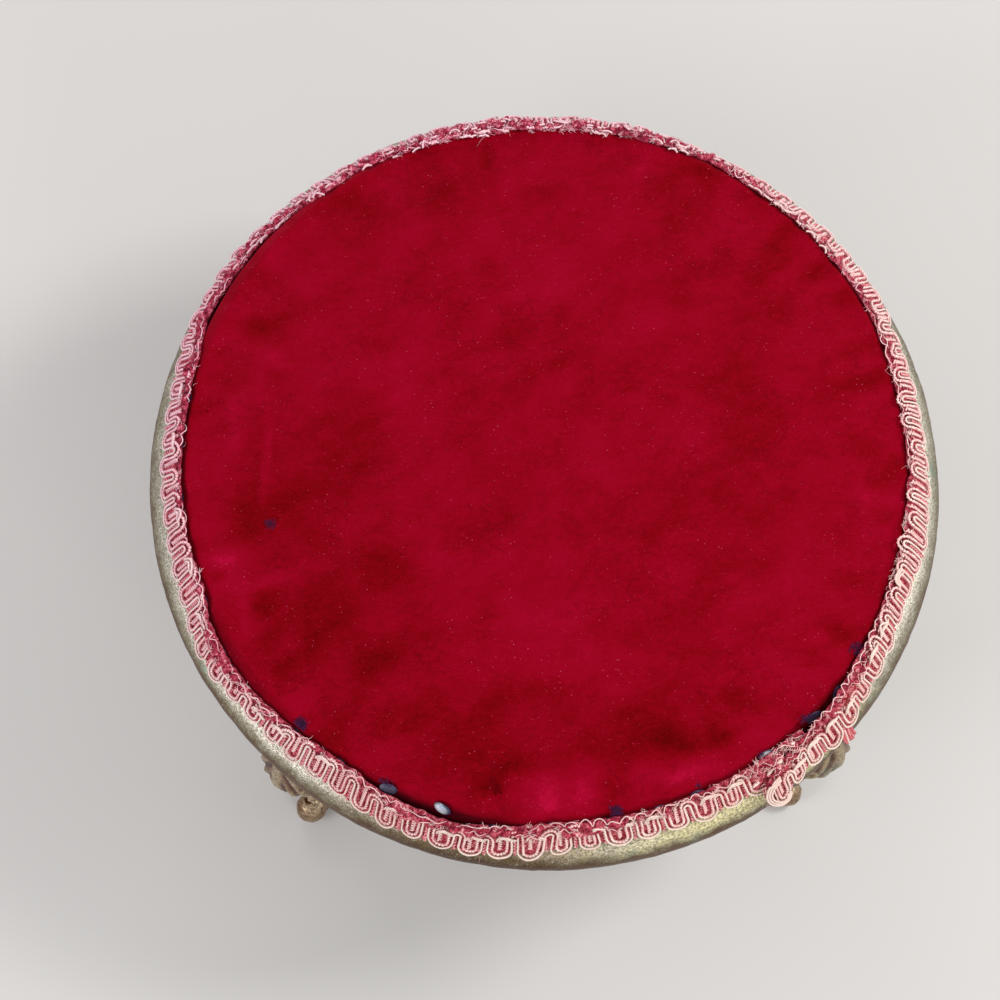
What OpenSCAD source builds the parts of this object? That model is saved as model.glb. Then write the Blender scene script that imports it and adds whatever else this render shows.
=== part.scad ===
// Small round footstool: a velvet pad on a turned board, in a half-round brass
// rim on four cast scroll legs. Millimetres, +Z up, the floor is Z = 0, the
// stool's axis is the Z axis and its front is towards -Y.

/* [Rim] */
// Outer radius of the rim
rim_outer_r = 135; // [125:1:145]
// Radius of the half-round moulding
rim_tube_r = 8.5; // [7.5:0.25:9.5]
// Thickness of the spun brass
rim_wall = 1.5; // [1.2:0.1:2]
// Width of the flat flange inside the moulding
flange_w = 34.5; // [30:0.5:38]
// How far the moulding's top lip reaches in past its middle
lip_w = 2.3; // [1.5:0.1:3.5]
// Height of the rim's underside above the floor
under_z = 119.5; // [100:0.5:140]

/* [Seat board] */
// Width of the bevel round the board's top edge
bevel_w = 6.6; // [5:0.2:8]
// Height of the bevel round the board's top edge
bevel_h = 9.4; // [8:0.2:12]
// Gap between the board's side and the moulding's lip
board_gap = 0.3; // [0.2:0.1:0.8]
// Gap between the board's shoulder and the lip's top
shoulder_gap = 0.1; // [0.1:0.05:0.4]

/* [Padding] */
// Height of the stuffing's crown
hair_h = 6.4; // [4:0.2:12]
// Distance that the stuffing stops short of the board's top edge
hair_in = 5.5; // [4.5:0.5:12]
// Thickness of the wadding at the middle
wadding_h = 1.0; // [0.6:0.1:3]
// Distance that the wadding stops short of the board's top edge
wadding_in = 3.0; // [2.5:0.5:4]
// Thickness of the calico under-cover
calico_t = 0.5; // [0.3:0.1:0.8]
// Thickness of the velvet with its pile
velvet_t = 1.1; // [0.8:0.1:1.6]
// How square the crown is towards its edge
crown_power = 2.4; // [1.8:0.1:4]

/* [Gimp braid] */
// Thickness of the braid
braid_t = 2.4; // [2:0.1:3.2]
// Angle down the moulding at which the braid's lower edge lies
braid_edge_deg = 28; // [22:1:34]
// Thickness of the braid's lower edge
braid_edge_t = 0.9; // [0.6:0.1:1.4]
// Direction of the end that lies underneath, from the front towards the right
lap_under_deg = 39; // [36:1:44]
// Direction of the end that lies on top
lap_over_deg = 29.6; // [26:0.2:33]
// How far the top end has slipped down over the moulding
lap_drop = 3; // [0:0.5:4]
// Air between the braid and what it lies on
braid_gap = 0.1; // [0.05:0.05:0.2]

/* [Cover tacks] */
// Number of tacks round the cover's edge
tack_count = 43; // [36:1:48]
// Direction of the first tack, from the front towards the right
tack_phase = -19.2; // [-24:0.1:-14]
// Radius of a tack's head
tack_head_r = 3.1; // [2.6:0.1:3.4]
// Thickness of a tack's head at its middle
tack_head_t = 0.9; // [0.7:0.1:1.1]
// Radius of a tack's shank
tack_r = 0.7; // [0.5:0.05:0.9]
// Length of a tack's shank
tack_len = 10; // [8:0.5:12]
// Distance of the tacks below the top of the bevel
tack_down = 2.2; // [1.8:0.1:3]

/* [Legs] */
// Direction of the legs, from the front or back
leg_deg = 45; // [40:1:50]
// Thickness of the mounting plate
plate_t = 3; // [2.5:0.5:4]
// Width of the mounting plate
plate_w = 28; // [26:1:32]
// Distance of the plate's inner end from the rim's outer edge
plate_in = 41; // [40:0.5:42]
// Distance of the leg's root from the rim's outer edge
root_in = 14.5; // [13:0.5:16]
// How far the knee stands out past the rim
knee_proud = 2.5; // [1:0.5:6]
// Depth of the knee, front to back
knee_d = 21.5; // [18:0.5:23]
// Width of the knee
knee_w = 25; // [22:0.5:27]
// Distance of the knee below the rim
knee_drop = 20; // [18:0.5:24]
// Depth of the grooves between the knee's ribs
flute_d = 0.9; // [0.2:0.1:1.4]
// Distance of the ankle from the rim's outer edge
ankle_in = 24.4; // [20:0.5:28]
// Height of the ankle above the floor
ankle_z = 32; // [28:1:38]
// Depth of the ankle, front to back
ankle_d = 9; // [8:0.5:11]
// Width of the ankle
ankle_w = 9.5; // [8:0.5:11]
// Distance of the toe's ball from the rim's outer edge
toe_in = 5.9; // [4:0.5:9]
// Radius of the toe's ball
toe_r = 6; // [5.5:0.25:7]
// Depth of the flat that the toe stands on
toe_flat = 0.4; // [0.3:0.1:0.8]

/* [Screws] */
// Radius of a leg screw's shank
leg_screw_r = 1.75; // [1.5:0.05:2]
// Radius of a leg screw's head
leg_screw_head_r = 3.5; // [3.2:0.1:3.7]
// Length of a leg screw
leg_screw_len = 15; // [10:0.5:18]
// Radius of a rim screw's shank
rim_screw_r = 1.45; // [1.2:0.05:1.75]
// Radius of a rim screw's head
rim_screw_head_r = 2.8; // [2.4:0.1:3.2]
// Length of a rim screw's shank
rim_screw_len = 11; // [8:0.5:14]
// Distance of the rim screws from the rim's outer edge
rim_screw_in = 29; // [26:0.5:32]
// Air round a shank in the brass
screw_air = 0.2; // [0.1:0.05:0.3]
// Air round a shank in the wood
pilot_air = 0.05; // [0.03:0.01:0.1]

/* [Bottom cloth] */
// Gap between the bottom cloth's edge and the flange
cloth_gap = 3; // [2:0.5:6]
// Thickness of the bottom cloth
cloth_t = 0.5; // [0.3:0.1:0.8]
// Number of tacks that hold the bottom cloth
cloth_tack_count = 16; // [12:1:24]
// Distance of these tacks from the cloth's edge
cloth_tack_in = 5; // [4:0.5:8]
// Radius of a cloth tack's head
cloth_tack_head_r = 2; // [1.6:0.1:2.4]
// Thickness of a cloth tack's head
cloth_tack_head_t = 0.6; // [0.4:0.1:0.8]
// Radius of a cloth tack's shank
cloth_tack_r = 0.5; // [0.4:0.05:0.7]
// Length of a cloth tack's shank
cloth_tack_len = 8; // [6:0.5:10]

/* [Hidden] */
$fn = 64;
// A cut runs this far past the face that it opens
past = 1;

// Rim
tube_c_r = rim_outer_r - rim_tube_r;
tube_c_z = under_z + rim_tube_r;
flange_r = tube_c_r - flange_w;
lip_r = tube_c_r - lip_w;

// Seat board: the shoulder lies over the lip, and the bevel climbs from it
board_z = under_z + rim_wall;
board_r = lip_r - board_gap;
shoulder_r = tube_c_r;
shoulder_z = tube_c_z + rim_tube_r + shoulder_gap;
top_r = shoulder_r - bevel_w;
top_z = shoulder_z + bevel_h;

// The bevel's frame: down along its face, and out from it
bevel_len = norm([bevel_w, bevel_h]);
down = [bevel_w, -bevel_h] / bevel_len;
out = [bevel_h, bevel_w] / bevel_len;
bevel_tilt = atan2(bevel_h, bevel_w);
function on_bevel(along, off) = [top_r, top_z] + along * down + off * out;

// Padding
hair_r = top_r - hair_in;
wadding_r = top_r - wadding_in;
cover_t = calico_t + velvet_t;
profile_steps = 24;
corner_steps = 6;
radii = [for (i = [0 : profile_steps]) wadding_r * sqrt(i / profile_steps)];
function dome(r, edge) = r < edge ? 1 - pow(r / edge, crown_power) : 0;
function hair_z(r) = top_z + hair_h * dome(r, hair_r);
function wadding_z(r) = hair_z(r) + wadding_h * dome(r, wadding_r);

// Leg, in its own plane: the radius from the stool's axis, and the height
plate_z = under_z - plate_t;
plate_r = rim_outer_r - plate_in;
plate_end_r = plate_w / 2;
root_r = rim_outer_r - root_in;
knee_r = rim_outer_r + knee_proud - knee_d / 2;
knee_z = under_z - knee_drop;
ankle_r = rim_outer_r - ankle_in;
toe_c = rim_outer_r - toe_in;
toe_z = toe_r - toe_flat;
leg_sides = 24;
leg_substeps = 4;
// The leg's section is a little squarer than an ellipse
section_power = 0.85;
flutes = 3;
// The flutes lie on the leg's front, and end this share of the drop from the knee
flute_from = 0.1;
flute_span = 0.75;

// Leg screws on the plate: one at its round end, and a pair further out
head_margin = 0.8;
screw_step = 5;
screw_pair_y = 8.5;
screw_back_r = plate_r + leg_screw_head_r + screw_air + head_margin;
screw_pair_r = screw_back_r + screw_step;
head_h = leg_screw_head_r - leg_screw_r;
head_sunk = 0.1;
slot_w = 0.9;
slot_d = 0.8;
tip_h = 2.5;
pilot_over = 0.5;
// How blunt the points of screws and tacks are
point_share = 0.2;

// Rim screw's pan head: its height and the radius of its flat, as shares of its radius
pan_h = rim_screw_head_r * 0.7;
pan_flat_share = 0.6;

// Tack's head: its edge's thickness and its flat's radius, as shares; and its point
tack_edge_share = 0.3;
tack_flat_share = 0.45;
tack_point = 1.5;

function mix(a, b, t) = a + (b - a) * t;
function signed_pow(v, p) = sign(v) * pow(abs(v), p);

// Each station of the leg: radius, height, depth, width
leg_stations = [
    [root_r, plate_z + plate_t / 3, knee_d * 0.79, knee_w + 2],
    [mix(root_r, knee_r, 0.09), plate_z - 2.5, knee_d * 0.88, knee_w + 2],
    [mix(root_r, knee_r, 0.55), mix(plate_z, knee_z, 0.53), knee_d * 1.02, knee_w + 1.5],
    [knee_r, knee_z, knee_d, knee_w],
    [knee_r + 0.4, knee_z - knee_drop * 0.38, knee_d * 0.95, knee_w * 0.92],
    [knee_r - 2, knee_z - knee_drop * 0.67, knee_d * 0.72, knee_w * 0.76],
    [mix(knee_r, ankle_r, 0.47), mix(knee_z, ankle_z, 0.47),
     mix(knee_d, ankle_d, 0.68), mix(knee_w, ankle_w, 0.68)],
    [mix(knee_r, ankle_r, 0.81), mix(knee_z, ankle_z, 0.75),
     mix(knee_d, ankle_d, 0.88), mix(knee_w, ankle_w, 0.87)],
    [ankle_r, ankle_z, ankle_d, ankle_w],
    [mix(ankle_r, toe_c, 0.09), mix(ankle_z, toe_z, 0.55), ankle_d * 0.94, ankle_w],
    [mix(ankle_r, toe_c, 0.43), toe_z + ankle_d * 0.38, ankle_d * 0.94, mix(ankle_w, 2 * toe_r, 0.3)],
    [toe_c - toe_r * 0.35, toe_z + toe_r * 0.1, ankle_d * 0.9, mix(ankle_w, 2 * toe_r, 0.3)]];
last_station = len(leg_stations) - 1;

// A smooth curve through the stations, and its direction
function station(i) = leg_stations[max(0, min(last_station, i))];
function smooth(a, b, c, d, t) =
    0.5 * (2 * b + (c - a) * t + (2 * a - 5 * b + 4 * c - d) * t * t
           + (3 * b - a - 3 * c + d) * t * t * t);
function slope(a, b, c, d, t) =
    0.5 * ((c - a) + 2 * (2 * a - 5 * b + 4 * c - d) * t
           + 3 * (3 * b - a - 3 * c + d) * t * t);
function leg_at(i, t) =
    smooth(station(i - 1), station(i), station(i + 1), station(i + 2), t);
function leg_slope(i, t) =
    slope(station(i - 1), station(i), station(i + 1), station(i + 2), t);
// How strongly the knee's flutes are cut, from its middle outwards
function flute_share(z) = max(0, 1 - pow((z - knee_z) / (knee_drop * flute_span), 2));

// One ring of points round the leg at a station and a direction
function leg_ring(s, run) =
    let (dir = [run[0], run[1]] / norm([run[0], run[1]]), side = [-dir[1], dir[0]])
    [for (k = [0 : leg_sides - 1])
        let (a = 360 * k / leg_sides,
             across = signed_pow(sin(a), section_power),
             groove = cos(a) > flute_from
                 ? flute_d * flute_share(s[1]) * (0.5 - 0.5 * cos(180 * flutes * (across + 1 / flutes)))
                 : 0,
             reach = signed_pow(cos(a), section_power) * s[2] / 2 - groove)
        [s[0] + side[0] * reach, across * s[3] / 2, s[1] + side[1] * reach]];

leg_rings = [
    for (i = [0 : last_station - 1])
        for (j = [0 : leg_substeps - (i == last_station - 1 ? 0 : 1)])
            leg_ring(leg_at(i, j / leg_substeps), leg_slope(i, j / leg_substeps))];

// A closed skin of triangles over rings that all have the same number of points
module skin(rings) {
    sides = len(rings[0]);
    last = len(rings) - 1;
    points = [for (ring = rings) for (p = ring) p];
    walls = [for (i = [0 : last - 1]) for (k = [0 : sides - 1])
        let (a = i * sides + k, b = i * sides + (k + 1) % sides)
        each [[a, b, b + sides], [a, b + sides, a + sides]]];
    first_cap = [for (k = [1 : sides - 2]) [0, k + 1, k]];
    last_cap = [for (k = [1 : sides - 2]) [last * sides, last * sides + k, last * sides + k + 1]];
    polyhedron(points = points, faces = concat(walls, first_cap, last_cap), convexity = 6);
}

// Turns a shape from the +X direction to a direction measured from the front
module towards(deg) {
    rotate([0, 0, deg - 90]) children();
}

// Rim: half-round moulding, top lip and flange, spun from one sheet
module moulding_profile() {
    difference() {
        translate([tube_c_r, tube_c_z]) circle(r = rim_tube_r);
        translate([tube_c_r, tube_c_z]) circle(r = rim_tube_r - rim_wall);
        translate([lip_r - 2 * rim_tube_r, tube_c_z - rim_wall])
            square([2 * rim_tube_r, 2 * rim_tube_r]);
        translate([tube_c_r - 2 * rim_tube_r, tube_c_z - 2 * rim_tube_r])
            square([2 * rim_tube_r, 2 * rim_tube_r]);
    }
    translate([flange_r, under_z]) square([tube_c_r - flange_r, rim_wall]);
}

module rim_ring() {
    color([0.56, 0.5, 0.36]) difference() {
        rotate_extrude($fn = 128) moulding_profile();
        for (deg = leg_dirs) towards(deg) leg_screw_places()
            translate([0, 0, under_z - past])
                cylinder(r = leg_screw_r + screw_air, h = rim_wall + 2 * past);
        rim_screw_places() translate([0, 0, under_z - past])
            cylinder(r = rim_screw_r + screw_air, h = rim_wall + 2 * past);
    }
}

// Seat board, turned from one piece of pine
module seat_board() {
    color([0.78, 0.62, 0.42]) difference() {
        rotate_extrude($fn = 128) polygon([
            [0, board_z], [board_r, board_z], [board_r, shoulder_z],
            [shoulder_r, shoulder_z], [top_r, top_z], [0, top_z]]);
        for (deg = leg_dirs) towards(deg) leg_screw_places()
            translate([0, 0, board_z - past])
                cylinder(r = leg_screw_r + pilot_air,
                         h = plate_z + leg_screw_len + pilot_over - board_z + past);
        rim_screw_places() translate([0, 0, board_z - past])
            cylinder(r = rim_screw_r + pilot_air,
                     h = under_z + rim_screw_len + pilot_over - board_z + past);
        cloth_tack_places() translate([0, 0, board_z - past])
            cylinder(r = cloth_tack_r + pilot_air,
                     h = cloth_tack_len - cloth_t + pilot_over + past);
        tack_places() tack_hole();
    }
}

// Padding: hair in a shallow dome, a layer of wadding, and two covers
module hair_stuffing() {
    inner = [for (r = radii) if (r < hair_r) r];
    color([0.3, 0.25, 0.2]) rotate_extrude($fn = 128) polygon(concat(
        [[0, top_z]], [for (r = inner) [r, hair_z(r)]], [[hair_r, top_z]]));
}

module cotton_wadding() {
    inner = [for (r = radii) if (r < hair_r) r];
    outer = [for (r = radii) if (r > hair_r && r < wadding_r) r];
    edge = concat(inner, [hair_r], outer);
    color([0.92, 0.9, 0.84]) rotate_extrude($fn = 128) polygon(concat(
        [for (r = inner) [r, hair_z(r)]], [[hair_r, top_z]], [[wadding_r, top_z]],
        [for (i = [len(edge) - 1 : -1 : 0]) [edge[i], wadding_z(edge[i])]]));
}

// One face of a cover: over the crown, round the board's edge, down the bevel
function cover_face(off) = concat(
    [for (r = concat([for (q = radii) if (q < hair_r) q], [hair_r],
                     [for (q = radii) if (q > hair_r && q < wadding_r) q]))
        [r, wadding_z(r) + off]],
    [[wadding_r, top_z + off]],
    off == 0 ? [[top_r, top_z]] :
        [for (i = [0 : corner_steps])
            let (a = bevel_tilt * i / corner_steps)
            [top_r + off * sin(a), top_z + off * cos(a)]],
    [on_bevel(bevel_len, off)]);

function backwards(list) = [for (i = [len(list) - 1 : -1 : 0]) list[i]];

module cover(inner_off, outer_off) {
    difference() {
        rotate_extrude($fn = 128)
            polygon(concat(cover_face(outer_off), backwards(cover_face(inner_off))));
        tack_places() tack_hole();
    }
}

module calico_cover() {
    color([0.86, 0.82, 0.72]) cover(0, calico_t);
}

module velvet_cover() {
    color([0.55, 0.01, 0.09]) cover(calico_t, cover_t);
}

// Cover tacks: round heads flat on the velvet at the top of the bevel
module tack_places() {
    base = on_bevel(tack_down, cover_t + braid_gap);
    for (i = [0 : tack_count - 1]) towards(tack_phase + 360 * i / tack_count)
        translate([base[0], 0, base[1]]) rotate([0, bevel_tilt, 0]) children();
}

module tack_hole() {
    translate([0, 0, -tack_len - pilot_over])
        cylinder(r = tack_r + pilot_air, h = tack_len + pilot_over + past, $fn = 24);
}

module tack(head_r, head_t, shank_r, shank_len) {
    edge_t = head_t * tack_edge_share;
    cylinder(r = head_r, h = edge_t, $fn = 32);
    translate([0, 0, edge_t])
        cylinder(r1 = head_r, r2 = head_r * tack_flat_share, h = head_t - edge_t, $fn = 32);
    translate([0, 0, tack_point - shank_len])
        cylinder(r = shank_r, h = shank_len - tack_point, $fn = 24);
    translate([0, 0, -shank_len])
        cylinder(r1 = shank_r * point_share, r2 = shank_r, h = tack_point, $fn = 24);
}

module cover_tacks() {
    color([0.35, 0.4, 0.5]) tack_places()
        tack(tack_head_r, tack_head_t, tack_r, tack_len);
}

// Gimp braid: one strip round the velvet's edge, lapped at the front right
// Air over the tacks' heads, and the slope by which the strip comes down past them
head_air = 0.15;
ledge_slope = 1.6;
tack_clear = tack_head_t + braid_gap + head_air;
tack_ledge = tack_down + tack_head_r + braid_gap * 2;
// Steps round the strip; the top end rises ahead of the lap, then slips at its tip
braid_step_deg = 3;
lap_step_deg = 1;
lap_ahead_deg = 2;
lap_rise_deg = 5;
lap_slip_deg = 7;
function ease(t) = t <= 0 ? 0 : t >= 1 ? 1 : t * t * (3 - 2 * t);
function on_moulding(deg, off) = [tube_c_r, tube_c_z] + (rim_tube_r + off) * [sin(deg), cos(deg)];
braid_section = [
    on_bevel(0, cover_t + tack_clear),
    on_bevel(tack_ledge, cover_t + tack_clear),
    on_bevel(tack_ledge + ledge_slope, cover_t + braid_gap),
    on_bevel(bevel_len, cover_t + braid_gap),
    on_moulding(braid_edge_deg, braid_gap),
    on_moulding(braid_edge_deg + 1, braid_edge_t),
    on_bevel(bevel_len, cover_t + braid_t),
    on_bevel(0, cover_t + braid_t)];
// The strip starts at the under end and runs round clockwise, as seen from above
braid_turn = 360 + lap_under_deg - lap_over_deg;
lap_from = 360 - lap_rise_deg - lap_ahead_deg;
lap_first = floor(lap_from / braid_step_deg);
braid_runs = concat(
    [for (i = [0 : lap_first - 1]) i * braid_step_deg],
    [for (run = [lap_first * braid_step_deg : lap_step_deg : braid_turn - lap_step_deg / 5]) run],
    [braid_turn]);
function braid_ring(run) =
    let (lift = (braid_t + braid_gap / 2) * ease((run - lap_from) / lap_rise_deg),
         slip = lap_drop * ease((run - braid_turn + lap_slip_deg) / lap_slip_deg),
         deg = lap_under_deg - run - 90)
    [for (p = braid_section)
        let (q = p + lift * out + slip * down)
        [q[0] * cos(deg), q[0] * sin(deg), q[1]]];

module gimp_braid() {
    color([0.85, 0.66, 0.6]) skin([for (run = braid_runs) braid_ring(run)]);
}

// Legs: cast in one with their mounting plates
leg_dirs = [-leg_deg, leg_deg, leg_deg - 180, 180 - leg_deg];

module leg_screw_places() {
    translate([screw_back_r, 0, 0]) children();
    translate([screw_pair_r, screw_pair_y, 0]) children();
    translate([screw_pair_r, -screw_pair_y, 0]) children();
}

module leg_plate() {
    translate([0, 0, plate_z]) linear_extrude(plate_t) {
        translate([plate_r + plate_end_r, 0]) circle(r = plate_end_r);
        translate([plate_r + plate_end_r, -plate_end_r])
            square([tube_c_r - plate_r - plate_end_r, plate_w]);
    }
}

module leg() {
    color([0.5, 0.42, 0.26]) difference() {
        union() {
            leg_plate();
            skin(leg_rings);
            translate([toe_c, 0, toe_z]) sphere(r = toe_r);
        }
        leg_screw_places() translate([0, 0, plate_z]) {
            translate([0, 0, -past]) cylinder(r = leg_screw_r + screw_air, h = plate_t + 2 * past);
            translate([0, 0, -past]) cylinder(r = leg_screw_head_r + screw_air, h = past + head_sunk);
            translate([0, 0, head_sunk])
                cylinder(r1 = leg_screw_head_r + screw_air, r2 = leg_screw_r + screw_air, h = head_h);
        }
        translate([toe_c - 2 * toe_r, -2 * toe_r, -2 * toe_r]) cube([4 * toe_r, 4 * toe_r, 2 * toe_r]);
    }
}

module leg_front_left() {
    towards(leg_dirs[0]) leg();
}

module leg_front_right() {
    towards(leg_dirs[1]) leg();
}

module leg_back_left() {
    towards(leg_dirs[2]) leg();
}

module leg_back_right() {
    towards(leg_dirs[3]) leg();
}

// Leg screws: countersunk, with a slot, driven up from below
module leg_screws() {
    color([0.55, 0.52, 0.46]) leg_screw_places() translate([0, 0, plate_z + head_sunk])
        difference() {
            union() {
                cylinder(r1 = leg_screw_head_r, r2 = leg_screw_r, h = head_h);
                cylinder(r = leg_screw_r, h = leg_screw_len - head_sunk - tip_h);
                translate([0, 0, leg_screw_len - head_sunk - tip_h])
                    cylinder(r1 = leg_screw_r, r2 = leg_screw_r * point_share, h = tip_h);
            }
            translate([-2 * leg_screw_head_r, -slot_w / 2, -past])
                cube([4 * leg_screw_head_r, slot_w, past + slot_d]);
        }
}

module screws_front_left() {
    towards(leg_dirs[0]) leg_screws();
}

module screws_front_right() {
    towards(leg_dirs[1]) leg_screws();
}

module screws_back_left() {
    towards(leg_dirs[2]) leg_screws();
}

module screws_back_right() {
    towards(leg_dirs[3]) leg_screws();
}

// Rim screws: round heads against the flange, midway between the legs
module rim_screw_places() {
    for (deg = [0 : 90 : 270]) towards(deg)
        translate([rim_outer_r - rim_screw_in, 0, 0]) children();
}

module rim_screws() {
    color([0.6, 0.52, 0.32]) rim_screw_places() translate([0, 0, under_z]) difference() {
        union() {
            translate([0, 0, -pan_h])
                cylinder(r1 = rim_screw_head_r * pan_flat_share, r2 = rim_screw_head_r, h = pan_h);
            cylinder(r = rim_screw_r, h = rim_screw_len - tip_h);
            translate([0, 0, rim_screw_len - tip_h])
                cylinder(r1 = rim_screw_r, r2 = rim_screw_r * point_share, h = tip_h);
        }
        translate([-2 * rim_screw_head_r, -slot_w / 2, -pan_h - past])
            cube([4 * rim_screw_head_r, slot_w, past + slot_d]);
    }
}

// Bottom cloth: black cambric over the board's underside, and its tacks
cloth_r = flange_r - cloth_gap;

module cloth_tack_places() {
    for (i = [0 : cloth_tack_count - 1]) towards(360 * i / cloth_tack_count)
        translate([cloth_r - cloth_tack_in, 0, 0]) children();
}

module bottom_cloth() {
    color([0.12, 0.11, 0.11]) difference() {
        translate([0, 0, board_z - cloth_t]) cylinder(r = cloth_r, h = cloth_t, $fn = 128);
        cloth_tack_places() translate([0, 0, board_z - cloth_t - past])
            cylinder(r = cloth_tack_r + pilot_air, h = cloth_t + 2 * past, $fn = 24);
    }
}

module bottom_tacks() {
    color([0.25, 0.27, 0.32]) cloth_tack_places()
        translate([0, 0, board_z - cloth_t]) rotate([180, 0, 0])
            tack(cloth_tack_head_r, cloth_tack_head_t, cloth_tack_r, cloth_tack_len);
}

rim_ring();
seat_board();
hair_stuffing();
cotton_wadding();
calico_cover();
velvet_cover();
gimp_braid();
cover_tacks();
leg_front_left();
leg_front_right();
leg_back_left();
leg_back_right();
screws_front_left();
screws_front_right();
screws_back_left();
screws_back_right();
rim_screws();
bottom_cloth();
bottom_tacks();
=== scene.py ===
"""The looks of a small round footstool: velvet pad, scroll gimp braid, brass rim, four cast legs.

Lengths are millimetres until a mesh is made, and then metres. A direction is an azimuth in
degrees from the stool's front (-Y) towards +X.
"""
import itertools
import math

import bmesh
import bpy
import numpy as np
from mathutils import Matrix, Vector
from mathutils.kdtree import KDTree


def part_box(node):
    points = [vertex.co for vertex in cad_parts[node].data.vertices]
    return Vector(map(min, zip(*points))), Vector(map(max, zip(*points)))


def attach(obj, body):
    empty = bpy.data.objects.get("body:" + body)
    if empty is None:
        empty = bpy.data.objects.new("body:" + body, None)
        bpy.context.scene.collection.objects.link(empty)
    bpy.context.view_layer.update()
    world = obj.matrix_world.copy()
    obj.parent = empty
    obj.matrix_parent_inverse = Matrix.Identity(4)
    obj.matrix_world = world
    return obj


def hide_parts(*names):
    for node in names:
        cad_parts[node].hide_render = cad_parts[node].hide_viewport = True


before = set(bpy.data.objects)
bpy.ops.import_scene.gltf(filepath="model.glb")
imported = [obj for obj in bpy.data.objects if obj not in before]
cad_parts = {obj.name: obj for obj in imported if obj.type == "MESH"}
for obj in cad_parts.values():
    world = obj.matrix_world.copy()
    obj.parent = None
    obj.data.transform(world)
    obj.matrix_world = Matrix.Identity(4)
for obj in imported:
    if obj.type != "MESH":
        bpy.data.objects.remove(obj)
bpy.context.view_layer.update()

MM = 0.001
DEG = math.radians(1)

# Sizes from the frame
rim_low, rim_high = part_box("rim_ring")
RIM_R = float(round(rim_high.x / MM))
UNDER_Z = rim_low.z / MM
TUBE_R = (rim_high.z - rim_low.z) / 2 / MM
TUBE_CR = RIM_R - TUBE_R
TUBE_CZ = UNDER_Z + TUBE_R
TOP_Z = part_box("seat_board")[1].z / MM
PAD_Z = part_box("velvet_cover")[1].z / MM

# The rim's sheet, and the bevel round the board
WALL = 1.5
LIP_W = 2.3
FLANGE_W = 34.5
BEVEL_W = 6.6
TOP_R = TUBE_CR - BEVEL_W
BEVEL_H = TOP_Z - TUBE_CZ - TUBE_R - 0.1
BEVEL_LEN = math.hypot(BEVEL_W, BEVEL_H)
DOWN = np.array([BEVEL_W, -BEVEL_H]) / BEVEL_LEN
OUT = np.array([BEVEL_H, BEVEL_W]) / BEVEL_LEN
BEVEL_TILT = math.degrees(math.atan2(BEVEL_H, BEVEL_W))

# The padding under the velvet
CALICO_T = 0.5
COVER_T = 1.6
HAIR_R = TOP_R - 5.5
WADDING_R = TOP_R - 3.0
WADDING_H = 1.0
HAIR_H = PAD_Z - TOP_Z - WADDING_H - COVER_T
CROWN = 2.4

TACKS = 43
TACK_AZ = -19.2
TACK_R = 3.1
TACK_T = 0.9
TACK_DOWN = 2.2
LEG_AZ = (-45.0, 45.0, -135.0, 135.0)
LEG_NAMES = ("front_left", "front_right", "back_left", "back_right")


# Small helpers

def spin(r, z, az):
    """Points at a radius, a height and an azimuth."""
    r, z, az = np.broadcast_arrays(np.asarray(r, float), z, np.radians(az))
    return np.stack([r * np.sin(az), -r * np.cos(az), z], -1)


def ease(t):
    """A smooth step: 0 below 0, and 1 above 1."""
    t = np.clip(t, 0, 1)
    return t * t * (3 - 2 * t)


def mix(a, b, t):
    """From a at 0 to b at 1."""
    return a + (b - a) * t


def bump_at(x, middle, width):
    """A bell curve, 1 in its middle."""
    return np.exp(-((x - middle) / width) ** 2)


def humps(x, rows):
    """The sum of bell curves, each given as its middle, width and height."""
    return sum(height * bump_at(x, middle, width) for middle, width, height in rows)


def noise(points, size, seed):
    """Smooth noise from -1 to 1 with lumps of about the given size."""
    p = np.asarray(points, float) / size
    cell = np.floor(p).astype(np.int64)
    f = ease(p - cell)
    total = 0.0
    for corner in itertools.product((0, 1), repeat=3):
        c = cell + np.array(corner)
        h = (c[..., 0] * 73856093) ^ (c[..., 1] * 19349663) ^ (c[..., 2] * 83492791) ^ (seed * 2654435761)
        h = ((h ^ (h >> 13)) * 1274126177) & 0xFFFFFFFF
        value = ((h ^ (h >> 16)) & 0xFFFF) / 32767.5 - 1
        weight = np.where(np.array(corner), f, 1 - f).prod(-1)
        total = total + value * weight
    return total


def unit(v):
    """Vectors made 1 long."""
    return v / np.maximum(np.linalg.norm(v, axis=-1, keepdims=True), 1e-9)


def grid(rows, cols, close_rows=False, close_cols=False):
    """Quads over rows x cols points."""
    r, c = np.meshgrid(np.arange(rows if close_rows else rows - 1),
                       np.arange(cols if close_cols else cols - 1), indexing="ij")
    r1, c1 = (r + 1) % rows, (c + 1) % cols
    return np.stack([r * cols + c, r * cols + c1, r1 * cols + c1, r1 * cols + c], -1).reshape(-1, 4)


def lengths(path):
    """The distance along a path to each of its points."""
    return np.concatenate([[0], np.cumsum(np.linalg.norm(np.diff(path, axis=0), axis=1))])


def lathe(profile, azimuths):
    """A profile of radius and height, turned to each azimuth."""
    return spin(profile[:, 0][None], profile[:, 1][None], azimuths[:, None])


def off_tack(az, r, count, first=0.0):
    """Distance round a circle, in mm, from the nearest of a ring of tacks."""
    return ((az - first + 180 / count) % (360 / count) - 180 / count) * DEG * r


def link(name, data):
    """A new object in the scene."""
    obj = bpy.data.objects.new(name, data)
    bpy.context.collection.objects.link(obj)
    return obj


def applied(obj):
    """The object's mesh with its modifiers applied, and that mesh's points in mm."""
    mesh = bpy.data.meshes.new_from_object(obj.evaluated_get(bpy.context.evaluated_depsgraph_get()))
    return mesh, np.array([v.co for v in mesh.vertices]) / MM


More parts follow.
